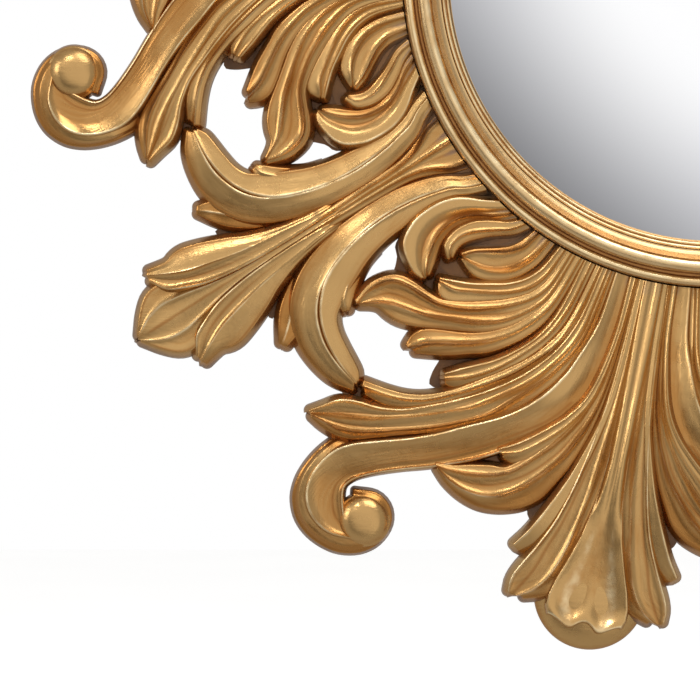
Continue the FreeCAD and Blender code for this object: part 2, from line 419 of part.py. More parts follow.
def frond(rails, side, turn, drafts=(1, 1)):
    """Solid of one frond from its rails.

    The faces between rails are ruled; the side walls spread by the draft down
    to the flat back; root and tip are closed by short facets.
    """
    placed = [[place(p, side, turn, r[0]) for p in r[1]] for r in rails]
    length = max(sum(q[i + 1].sub(q[i]).Length for i in range(len(q) - 1)) for q in placed)
    count = max(7, min(19, int(length / RAIL_SPACING) + 3))
    marks = None
    if all(len(q) == len(placed[0]) for q in placed):
        marks = [0.0]
        for i in range(len(placed[0]) - 1):
            marks.append(marks[-1] + sum(q[i + 1].sub(q[i]).Length for q in placed) / len(placed))
    tops = [smooth_points(q, count, marks) for q in placed]
    mid = len(tops) // 2
    way = 1.0
    probe = side_step(tops[0], count // 2, 1.0)
    if probe.dot(tops[-1][count // 2].sub(tops[0][count // 2])) > 0:
        way = -1.0
    bases = []
    for index, draft in ((0, drafts[0]), (len(tops) - 1, drafts[1])):
        out = way if index == 0 else -way
        row = []
        for i in range(count):
            spread = WALL_DRAFT * draft * (1.0 if i > 0 else 0.2)
            p = tops[index][i] + side_step(tops[index], i, out) * spread
            row.append(V(p.x, BACK_Y, p.z))
        bases.append(row)
    lines = [spline(t) for t in tops]
    feet = [spline(b) for b in bases]
    faces = [ruled(lines[i], lines[i + 1]) for i in range(len(lines) - 1)]
    faces.append(ruled(feet[0], lines[0]))
    faces.append(ruled(lines[-1], feet[1]))
    forward = tops[mid][-1].sub(tops[mid][-2])
    forward = V(forward.x, 0, forward.z).normalize() * WALL_DRAFT
    caps = []
    for end in (0, -1):
        foot = [bases[0][end]]
        for i in range(1, len(tops) - 1):
            p = tops[i][end] + (forward if end == -1 else V(0, 0, 0))
            foot.append(V(p.x, BACK_Y, p.z))
        foot.append(bases[1][end])
        caps.append(foot)
        for i in range(len(tops) - 1):
            faces.append(facet(tops[i][end], tops[i + 1][end], foot[i], foot[i + 1]))
    outline = [feet[0].toShape()]
    outline += [Part.makeLine(caps[1][i], caps[1][i + 1]) for i in range(len(tops) - 1)]
    outline.append(feet[1].toShape())
    outline += [Part.makeLine(caps[0][i], caps[0][i + 1]) for i in range(len(tops) - 1)]
    wire = Part.Wire(Part.__sortEdges__(outline))
    faces.append(Part.Face(wire))
    shell = Part.makeShell(faces)
    shell.sewShape()
    solid = Part.Solid(shell if shell.ShapeType == "Shell" else shell.Shells[0])
    if solid.Volume < 0:
        solid.reverse()
    return solid


def both_sides(rails, axis):
    """Rails of a frond that straddles an axis, from one side to the other."""
    mirrored = [(drop, [(2 * axis - p[0], p[1]) for p in line]) for drop, line in rails[1:]]
    if axis == 0:
        return mirrored[::-1] + rails
    return rails[::-1] + mirrored


def ground(outline, height, side, turn):
    """Flat floor of a recess, as a straight-sided slab on the carving's back."""
    points = [polar(angle_of(phi, side) + turn, MOULDING_RADIUS + d * REACH) for phi, d in outline]
    face = Part.Face(Part.makePolygon(points + points[:1]))
    return face.extrude(OUT * height)


def root_sector(start, stop, inner, outer, height):
    """Slab of a ring sector between two angles (degrees from straight down)."""
    steps = 12
    angles = [start + (stop - start) * i / steps for i in range(steps + 1)]
    rim = [polar(a, outer) for a in angles]
    rim += [polar(a, inner) for a in reversed(angles)]
    face = Part.Face(Part.makePolygon(rim + rim[:1]))
    return face.extrude(OUT * height)


def joint_line(side, turn, shift):
    """Points of the joint between two blocks, moved sideways by a distance."""
    points = []
    for phi, d in JOINT:
        radius = MOULDING_RADIUS + d * REACH
        nudge = math.degrees(shift / radius)
        points.append(polar(angle_of(phi, side) + turn + side * nudge, radius, -20.0))
    return points


def territory(left, right):
    """Tall slab between two joint lines, used to trim one carved block."""
    outline = [spline(smooth_points(left, 40)).toShape(), Part.makeLine(left[-1], right[-1])]
    outline += [spline(smooth_points(right, 40)).toShape(), Part.makeLine(left[0], right[0])]
    wire = Part.Wire(Part.__sortEdges__(outline))
    return Part.Face(wire).extrude(OUT * 100.0)


def scroll_eye(side, turn):
    """Round boss in the middle of a scroll, with the floor it rises from."""
    at = polar(angle_of(EYE_PHI, side) + turn, MOULDING_RADIUS + EYE_D * REACH)
    top = crest_line(EYE_D) - 1.0
    waist = top - 6.0
    floor = Part.makeCylinder(EYE_FLOOR * REACH, 7.0, at, OUT)
    neck = Part.makeCylinder(EYE_RADIUS * REACH, waist - 3.0, at + OUT * 3.0, OUT)
    dome = Part.makeSphere(EYE_DOME * REACH, at + OUT * (top - EYE_DOME * REACH))
    cap = dome.common(Part.makeCylinder(30.0, 60.0, at + OUT * (waist - 0.2), OUT))
    return [floor, neck.fuse(cap)]


def tip_ball():
    """Low rounded boss under the lip of the palmette."""
    at = polar(FIRST_PALMETTE, MOULDING_RADIUS + BALL_D * REACH)
    foot = BALL_RADIUS * REACH
    shoulder = foot - 2.6
    body = Part.makeCone(foot, shoulder, BALL_HEIGHT, at, OUT)
    radius = (shoulder ** 2 + BALL_RISE ** 2) / (2 * BALL_RISE)
    dome = Part.makeSphere(radius, at + OUT * (BALL_HEIGHT + BALL_RISE - radius))
    cap = dome.common(Part.makeCylinder(shoulder, 60.0, at + OUT * (BALL_HEIGHT - 0.01), OUT))
    return [body, cap]


def block(pieces, trim):
    """Fuse the fronds of a carved block and trim it to its joint lines."""
    whole = pieces[0].multiFuse(pieces[1:])
    whole = whole.common(trim).removeSplitter()
    solids = sorted(whole.Solids, key=lambda s: -s.Volume)
    return solids[0]


def palmette_block():
    """One palmette: both halves of the flowing fronds about a palmette axis."""
    pieces = [frond(both_sides(SPINE, 0), 1, 0.0)]
    pieces += tip_ball()
    for side in (1, -1):
        for right, left, rails in PALMETTE.values():
            pieces.append(frond(rails, side, 0.0, (right, left)))
        for height, outline in PALMETTE_GROUND:
            pieces.append(ground(outline, height, side, 0.0))
        pieces += scroll_eye(side, 0.0)
    start = angle_of(33.0, -1)
    stop = angle_of(33.0, 1)
    pieces.append(root_sector(start, stop, MOULDING_RADIUS + ROOT_EASE, RING_RADIUS + 1.0, ROOT_PLATE))
    trim = territory(joint_line(1, 0.0, -JOINT_GAP / 2), joint_line(-1, 0.0, -JOINT_GAP / 2))
    return block(pieces, trim)


def fan_block():
    """One fan: the plain lobes on a fan axis and a hooked leaf on either side."""
    pieces = [frond(both_sides(FAN_CENTRE, 45), 1, 0.0), frond(both_sides(SPANDREL, 45), 1, 0.0)]
    for side, turn in ((1, 0.0), (-1, REPEAT)):
        for right, left, rails in FAN.values():
            pieces.append(frond(rails, side, turn, (right, left)))
        for height, outline in FAN_GROUND:
            pieces.append(ground(outline, height, side, turn))
    start = angle_of(36.5, 1)
    stop = angle_of(36.5, -1) + REPEAT
    pieces.append(root_sector(start, stop, MOULDING_RADIUS + ROOT_EASE, RING_RADIUS + 1.0, ROOT_PLATE))
    trim = territory(joint_line(1, 0.0, JOINT_GAP / 2), joint_line(-1, REPEAT, JOINT_GAP / 2))
    return block(pieces, trim)


# ------------------------------------------------------ moulding, glass, back
DOME_RADIUS = (GLASS_RADIUS ** 2 + GLASS_RISE ** 2) / (2 * GLASS_RISE)
GLASS_RIM_Y = BACK_Y - 5.0                             # front edge of the glass
GLASS_APEX_Y = GLASS_RIM_Y - GLASS_RISE
DOME_CENTRE_Y = GLASS_APEX_Y + DOME_RADIUS
REBATE_RADIUS = GLASS_RADIUS + 2.0
OPENING_RADIUS = REBATE_RADIUS + 1.5                   # hole of the backing ring
BOARD_RADIUS = OPENING_RADIUS - 0.5
RING_BACK_Y = -WALL_GAP
BOARD_FRONT_Y = RING_BACK_Y - BOARD_THICKNESS
EASE = 0.05                                            # clearance round the screws
DRAWN_MOULDING = 29.4                                  # width at which its profile is drawn
LIP_CLEARANCE = 1.2                                    # from the glass to the moulding's lip


def turned(profile):
    """Solid of revolution about the line through the middle of the glass.

    The profile is a closed list of (radius, y) corners.
    """
    points = [V(r, y, 0) for r, y in profile]
    face = Part.Face(Part.makePolygon(points + points[:1]))
    return face.revolve(V(0, 0, 0), V(0, 1, 0), 360)


def arc_points(centre, radius, start, stop, count):
    """Corners along an arc of a profile, angles from the radial direction towards the front."""
    points = []
    for i in range(count + 1):
        a = math.radians(start + (stop - start) * i / count)
        points.append((centre[0] + radius * math.cos(a), centre[1] - radius * math.sin(a)))
    return points


def dome_y(radius, sphere):
    """Y of a sphere about the dome's centre at a distance from the axis."""
    return DOME_CENTRE_Y - math.sqrt(sphere ** 2 - radius ** 2)


def sight_moulding():
    """Ring moulding: thin lip and bead, cove, large torus, groove and outer bead."""
    w = MOULDING_WIDTH / DRAWN_MOULDING
    r = SIGHT_RADIUS
    lip = DOME_RADIUS + LIP_CLEARANCE
    inner = r + 0.4
    profile = [(inner, dome_y(inner, lip)), (r, dome_y(inner, lip) - 0.8)]
    front = dome_y(inner, lip) - 2.4
    profile += [(r + 0.5 * w, front), (r + 1.4 * w, front), (r + 2.0 * w, front + 0.9), (r + 2.4 * w, front + 0.9)]
    profile += [(r + 3.1 * w, front - 0.9), (r + 4.1 * w, front - 1.1), (r + 4.9 * w, front - 0.2)]
    cove = BACK_Y - 13.2
    profile += [(r + 6.0 * w, cove + 0.6), (r + 7.6 * w, cove - 0.9), (r + 9.2 * w, cove - 3.4)]
    profile += [(r + 10.6 * w, cove - 6.4), (r + 11.6 * w, cove - 9.6)]
    profile += arc_points((r + 15.8 * w, BACK_Y - 19.6), 4.6 * w, 158, -8, 12)
    profile += [(r + 20.6 * w, BACK_Y - 15.0), (r + 21.2 * w, BACK_Y - 12.6), (r + 22.4 * w, BACK_Y - 12.6)]
    profile += arc_points((r + 25.8 * w, BACK_Y - 14.4), 3.2 * w, 175, -20, 10)
    profile += [(MOULDING_RADIUS, BACK_Y - 11.0), (MOULDING_RADIUS, BACK_Y)]
    profile += [(REBATE_RADIUS, BACK_Y), (REBATE_RADIUS, dome_y(REBATE_RADIUS - 1.0, lip))]
    profile += [(REBATE_RADIUS - 1.0, dome_y(REBATE_RADIUS - 1.0, lip))]
    return turned(profile)


def mirror_glass():
    """Convex silvered glass: a slice between two concentric spheres."""
    outer = Part.makeSphere(DOME_RADIUS, V(0, DOME_CENTRE_Y, 0))
    inner = Part.makeSphere(DOME_RADIUS - GLASS_THICKNESS, V(0, DOME_CENTRE_Y, 0))
    blank = Part.makeCylinder(GLASS_RADIUS, GLASS_RISE + 20.0, V(0, GLASS_APEX_Y - 5.0, 0), V(0, 1, 0))
    return outer.cut(inner).common(blank)


def rim_gasket():
    """Soft ring between the lip of the moulding and the front of the glass."""
    a = SIGHT_RADIUS + 1.4
    b = GLASS_RADIUS - 0.4
    near = DOME_RADIUS + 0.1
    far = DOME_RADIUS + 1.1
    return turned([(a, dome_y(a, near)), (b, dome_y(b, near)), (b, dome_y(b, far)), (a, dome_y(a, far))])


def foam_ring():
    """Foam ring pressed between the back of the glass and the back board."""
    a = SIGHT_RADIUS
    b = GLASS_RADIUS - 0.5
    back = DOME_RADIUS - GLASS_THICKNESS - 0.1
    return turned([(a, dome_y(a, back)), (b, dome_y(b, back)), (b, BOARD_FRONT_Y), (a, BOARD_FRONT_Y)])


def back_board():
    """Round board that closes the back of the mirror."""
    return Part.makeCylinder(BOARD_RADIUS, BOARD_THICKNESS, V(0, BOARD_FRONT_Y, 0), V(0, 1, 0))


def on_back(angle, radius, y=RING_BACK_Y):
    """Point on the back at an angle clockwise from the top, seen from the front."""
    a = math.radians(angle)
    return V(radius * math.sin(a), y, radius * math.cos(a))


BUTTON_PIVOT = OPENING_RADIUS + 13.0
BUTTON_EYE = 7.0                                       # round end about the pivot
BUTTON_NOSE = 5.5                                      # round end over the board
BUTTON_LENGTH = 22.0                                   # between the two
BUTTON_ANGLES = [30.0 + 360.0 * i / BUTTONS for i in range(BUTTONS)]
BUMPER_ANGLES = [22.0, 158.0, 202.0, 338.0]
BUMPER_RADIUS = RING_RADIUS - 16.0
BUMPER_DISC = 10.0
BLOCK_SCREW_RADIUS = MOULDING_RADIUS + 30.0
SUNK = 3.0                                             # depth of the block screws' heads
BLOCK_SCREW_LENGTH = RING_THICKNESS - SUNK + 4.0
BUTTON_SCREW_LENGTH = RING_THICKNESS - 2.0
STRAP_SCREW_LENGTH = RING_THICKNESS - 5.0
PILOT_DEPTH = RING_THICKNESS - 1.2                     # holes for the fittings' screws
SCREW_TIP = 2.5
HEAD_RADIUS = 4.0
PALMETTE_SCREWS = [9.0, -9.0]                          # degrees either side of a palmette axis
FAN_SCREWS = [4.0, -4.0]
STRAP_WIDTH = 16.0
STRAP_THICKNESS = 1.5
STRAP_LENGTH = 34.0
STRAP_HOLES = [9.5, 27.0]                              # below the hinge line
KNUCKLE_RADIUS = 3.1
D_RING_RADIUS = BLOCK_SCREW_RADIUS
D_RING_ARM = 7.0                                       # straight part of the loop
HINGE_Y = RING_BACK_Y + KNUCKLE_RADIUS


def screw(at, way, length, head_radius, head_height, shank=SCREW_RADIUS):
    """Screw with its head's underside at a point, its shank running along a direction."""
    body = Part.makeCylinder(shank, length, at, way)
    tip = Part.makeCone(shank, 0.4, SCREW_TIP, at + way * length, way)
    head = Part.makeCone(head_radius, head_radius * 0.8, head_height, at, way * -1.0)
    slot = Part.makeBox(head_radius * 1.6, 0.9, 0.7, V(-head_radius * 0.8, -0.45, 0))
    slot.Placement = FreeCAD.Placement(at - way * head_height, FreeCAD.Rotation(V(0, 0, 1), way))
    return body.multiFuse([tip, head]).cut(slot)


def block_screw_points():
    """Places of the screws that hold the carved blocks to the backing ring."""
    angles = []
    for i in range(REPEATS):
        axis = FIRST_PALMETTE + i * REPEAT
        angles += [axis + a for a in PALMETTE_SCREWS]
        angles += [axis + WIDE + a for a in FAN_SCREWS]
    return [polar(a, BLOCK_SCREW_RADIUS) for a in angles]


def backing_ring():
    """Flat ring behind the frame that carries the moulding, the carving and the fittings."""
    ring = Part.makeCylinder(RING_RADIUS, RING_THICKNESS, V(0, BACK_Y, 0), V(0, 1, 0))
    ring = ring.cut(Part.makeCylinder(OPENING_RADIUS, RING_THICKNESS + 2, V(0, BACK_Y - 1, 0), V(0, 1, 0)))
    holes = []
    for p in block_screw_points():
        holes.append(Part.makeCylinder(SCREW_RADIUS + EASE, RING_THICKNESS + 2, V(p.x, BACK_Y - 1, p.z), V(0, 1, 0)))
        holes.append(Part.makeCylinder(HEAD_RADIUS + 0.2, SUNK + 0.2, V(p.x, RING_BACK_Y - SUNK, p.z), V(0, 1, 0)))
    for angle in BUTTON_ANGLES:
        p = on_back(angle, BUTTON_PIVOT)
        holes.append(Part.makeCylinder(SCREW_RADIUS + EASE, PILOT_DEPTH, p + OUT * -0.5, OUT))
    for p in strap_screw_points():
        holes.append(Part.makeCylinder(SCREW_RADIUS + EASE, PILOT_DEPTH, V(p.x, RING_BACK_Y + 0.5, p.z), OUT))
    return ring.cut(Part.makeCompound(holes))


def carving_screws():
    """Sunk screws from the back through the ring into the carved blocks."""
    screws = []
    for p in block_screw_points():
        screws.append(screw(V(p.x, RING_BACK_Y - SUNK, p.z), OUT, BLOCK_SCREW_LENGTH, HEAD_RADIUS, SUNK - 0.4))
    return screws


def turn_button(angle):
    """Brass turn button: a round-ended plate that pivots on its screw."""
    pivot = on_back(angle, BUTTON_PIVOT)
    plate = Part.makeCylinder(BUTTON_EYE, BUTTON_THICKNESS, V(0, 0, 0), V(0, 1, 0))
    nose = Part.makeCylinder(BUTTON_NOSE, BUTTON_THICKNESS, V(0, 0, -BUTTON_LENGTH), V(0, 1, 0))
    corner = V(-BUTTON_NOSE, 0, -BUTTON_LENGTH)
    web = Part.makeBox(2 * BUTTON_NOSE, BUTTON_THICKNESS, BUTTON_LENGTH, corner)
    body = plate.multiFuse([nose, web])
    body = body.cut(Part.makeCylinder(SCREW_RADIUS + EASE, 10.0, V(0, -2, 0), V(0, 1, 0)))
    body.rotate(V(0, 0, 0), V(0, 1, 0), angle)
    body.translate(V(pivot.x, RING_BACK_Y + 0.05, pivot.z))
    return body


def turn_button_screws():
    """Round-headed pivot screws of the turn buttons."""
    top = RING_BACK_Y + BUTTON_THICKNESS + 0.1
    return [screw(on_back(a, BUTTON_PIVOT, top), OUT, BUTTON_SCREW_LENGTH, HEAD_RADIUS, 1.9) for a in BUTTON_ANGLES]


def strap_centre(side):
    """Middle of a hanger's knuckle on the hinge line; side is +1 right, -1 left."""
    return on_back(side * D_RING_ANGLE, D_RING_RADIUS, HINGE_Y)


def strap_screw_points():
    """Places of the two screws of each hanger, below its knuckle."""
    points = []
    for side in (1, -1):
        c = strap_centre(side)
        points += [V(c.x, RING_BACK_Y, c.z - dz) for dz in STRAP_HOLES]
    return points


def d_ring_strap(side):
    """Strap of a hanger: a screwed plate rolled into a knuckle at its upper end."""
    c = strap_centre(side)
    half = STRAP_WIDTH / 2
    corner = V(c.x - half, RING_BACK_Y, c.z - STRAP_LENGTH)
    plate = Part.makeBox(STRAP_WIDTH, STRAP_THICKNESS, STRAP_LENGTH, corner)
    knuckle = Part.makeCylinder(KNUCKLE_RADIUS, STRAP_WIDTH, V(c.x - half, c.y, c.z), V(1, 0, 0))
    body = plate.fuse(knuckle)
    bore = Part.makeCylinder(D_RING_WIRE / 2 + EASE, STRAP_WIDTH + 2, V(c.x - half - 1, c.y, c.z), V(1, 0, 0))
    body = body.cut(bore)
    for dz in STRAP_HOLES:
        foot = V(c.x, RING_BACK_Y, c.z - dz)
        small = SCREW_RADIUS + EASE
        body = body.cut(Part.makeCone(small, small + STRAP_THICKNESS, STRAP_THICKNESS, foot, V(0, 1, 0)))
    return body


def d_ring(side):
    """Wire loop of a hanger, hanging down: bar in the knuckle, two arms and a round bow."""
    c = strap_centre(side)
    wire = D_RING_WIRE / 2
    half = (D_RING_INSIDE + D_RING_WIRE) / 2
    bar = Part.makeCylinder(wire, 2 * half, V(c.x - half, c.y, c.z), V(1, 0, 0))
    parts = [bar]
    for x in (-half, half):
        parts.append(Part.makeCylinder(wire, D_RING_ARM, V(c.x + x, c.y, c.z), V(0, 0, -1)))
        parts.append(Part.makeSphere(wire, V(c.x + x, c.y, c.z)))
    bend = c.z - D_RING_ARM
    bow = Part.makeTorus(half, wire, V(c.x, c.y, bend), V(0, 1, 0))
    below = Part.makeBox(4 * half, 20, 2 * half, V(c.x - 2 * half, c.y - 10, bend - 2 * half))
    parts.append(bow.common(below))
    return parts[0].multiFuse(parts[1:])


def d_ring_screws():
    """Flush countersunk screws that hold the two straps to the backing ring."""
    screws = []
    for p in strap_screw_points():
        foot = V(p.x, RING_BACK_Y, p.z)
        head = Part.makeCone(SCREW_RADIUS, SCREW_RADIUS + STRAP_THICKNESS, STRAP_THICKNESS, foot, V(0, 1, 0))
        shank = Part.makeCylinder(SCREW_RADIUS, STRAP_SCREW_LENGTH, foot, OUT)
        tip = Part.makeCone(SCREW_RADIUS, 0.4, SCREW_TIP, foot + OUT * STRAP_SCREW_LENGTH, OUT)
        slot = Part.makeBox(6.0, 0.6, 0.9, V(p.x - 3.0, RING_BACK_Y + STRAP_THICKNESS - 0.6, p.z - 0.45))
        screws.append(shank.multiFuse([head, tip]).cut(slot))
    return screws


def wall_bumpers():
    """Rubber discs on the back that stand on the wall."""
    return [Part.makeCylinder(BUMPER_DISC, WALL_GAP, on_back(a, BUMPER_RADIUS), V(0, 1, 0)) for a in BUMPER_ANGLES]


def screw_holes(points):
    """Blind holes in the back of a carved block, as one tool."""
    depth = BLOCK_SCREW_LENGTH + SCREW_TIP + SUNK - RING_THICKNESS + 2.7
    tools = [Part.makeCylinder(SCREW_RADIUS + EASE, depth, V(p.x, BACK_Y + 1, p.z), OUT) for p in points]
    return Part.makeCompound(tools)


def save(name, shape):
    """Write one node; a list becomes a compound of separate solids."""
    if isinstance(shape, list):
        shape = Part.makeCompound(shape)
    shape.exportStep("parts/" + name + ".step")
    print(name, shape.isValid(), len(shape.Solids), round(shape.Volume), flush=True)


def main():
    """Build every node of the mirror and write it out."""
    os.makedirs("parts", exist_ok=True)
    save("sight_moulding", sight_moulding())
    save("backing_ring", backing_ring())
    save("carving_screws", carving_screws())
    save("mirror_glass", mirror_glass())
    save("rim_gasket", rim_gasket())
    save("foam_ring", foam_ring())
    save("back_board", back_board())
    for i, angle in enumerate(BUTTON_ANGLES):
        save("turn_button_%d" % (i + 1), turn_button(angle))
    save("turn_button_screws", turn_button_screws())
    for side, word in ((-1, "left"), (1, "right")):
        save("d_ring_strap_" + word, d_ring_strap(side))
        save("d_ring_" + word, d_ring(side))
    save("d_ring_screws", d_ring_screws())
    save("wall_bumpers", wall_bumpers())
    holes = screw_holes(block_screw_points()[:4])
    palmette = palmette_block().cut(holes)
    fan = fan_block().cut(holes)
    for i in range(REPEATS):
        for name, carved in (("palmette_carving_", palmette), ("fan_carving_", fan)):
            piece = carved.copy()
            piece.rotate(V(0, 0, 0), V(0, 1, 0), i * REPEAT)
            save(name + str(i + 1), piece)


main()
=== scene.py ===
import logging
import math
from collections.abc import Iterator
from dataclasses import dataclass, field
from enum import Enum
from itertools import count

import bpy
import numpy as np
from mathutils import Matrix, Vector


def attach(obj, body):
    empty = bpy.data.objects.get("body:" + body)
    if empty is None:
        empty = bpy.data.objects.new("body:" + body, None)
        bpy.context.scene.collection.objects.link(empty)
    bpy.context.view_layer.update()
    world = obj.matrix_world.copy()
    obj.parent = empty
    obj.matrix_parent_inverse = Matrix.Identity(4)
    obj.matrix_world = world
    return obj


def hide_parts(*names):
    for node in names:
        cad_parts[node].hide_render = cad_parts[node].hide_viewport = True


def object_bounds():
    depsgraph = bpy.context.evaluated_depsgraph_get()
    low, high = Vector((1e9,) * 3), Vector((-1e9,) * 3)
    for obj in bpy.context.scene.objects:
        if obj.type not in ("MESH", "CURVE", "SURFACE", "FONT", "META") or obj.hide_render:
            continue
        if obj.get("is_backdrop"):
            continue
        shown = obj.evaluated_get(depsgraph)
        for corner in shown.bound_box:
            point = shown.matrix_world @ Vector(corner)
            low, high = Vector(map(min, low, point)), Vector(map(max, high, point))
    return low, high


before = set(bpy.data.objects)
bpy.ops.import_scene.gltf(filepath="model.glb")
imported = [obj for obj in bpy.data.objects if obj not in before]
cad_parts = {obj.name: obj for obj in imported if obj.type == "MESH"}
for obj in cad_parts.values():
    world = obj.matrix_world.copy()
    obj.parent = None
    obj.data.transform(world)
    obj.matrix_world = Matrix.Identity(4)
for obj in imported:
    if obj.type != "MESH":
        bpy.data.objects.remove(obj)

# Looks of a round convex looking-glass in a carved, pierced and gilded frame.
#
# The carved border is drawn as half of one repeat in two coordinates: phi, from
# 0 on a palmette axis to 45 on a fan axis, and d, millimetres outwards from the
# moulding.  A leaf is a few rails from root to tip, each with its drop below
# the crest line: one drop for the whole rail, or one at its root and one at its
# tip.  +Z is up, the glass faces -Y, and lengths end up in metres.

log = logging.getLogger("mirror")

Point = tuple[float, float]
Rails = list[tuple[float | Point, list[Point]]]
Colour = tuple[float, float, float]
Socket = bpy.types.NodeSocket
MM = 0.001

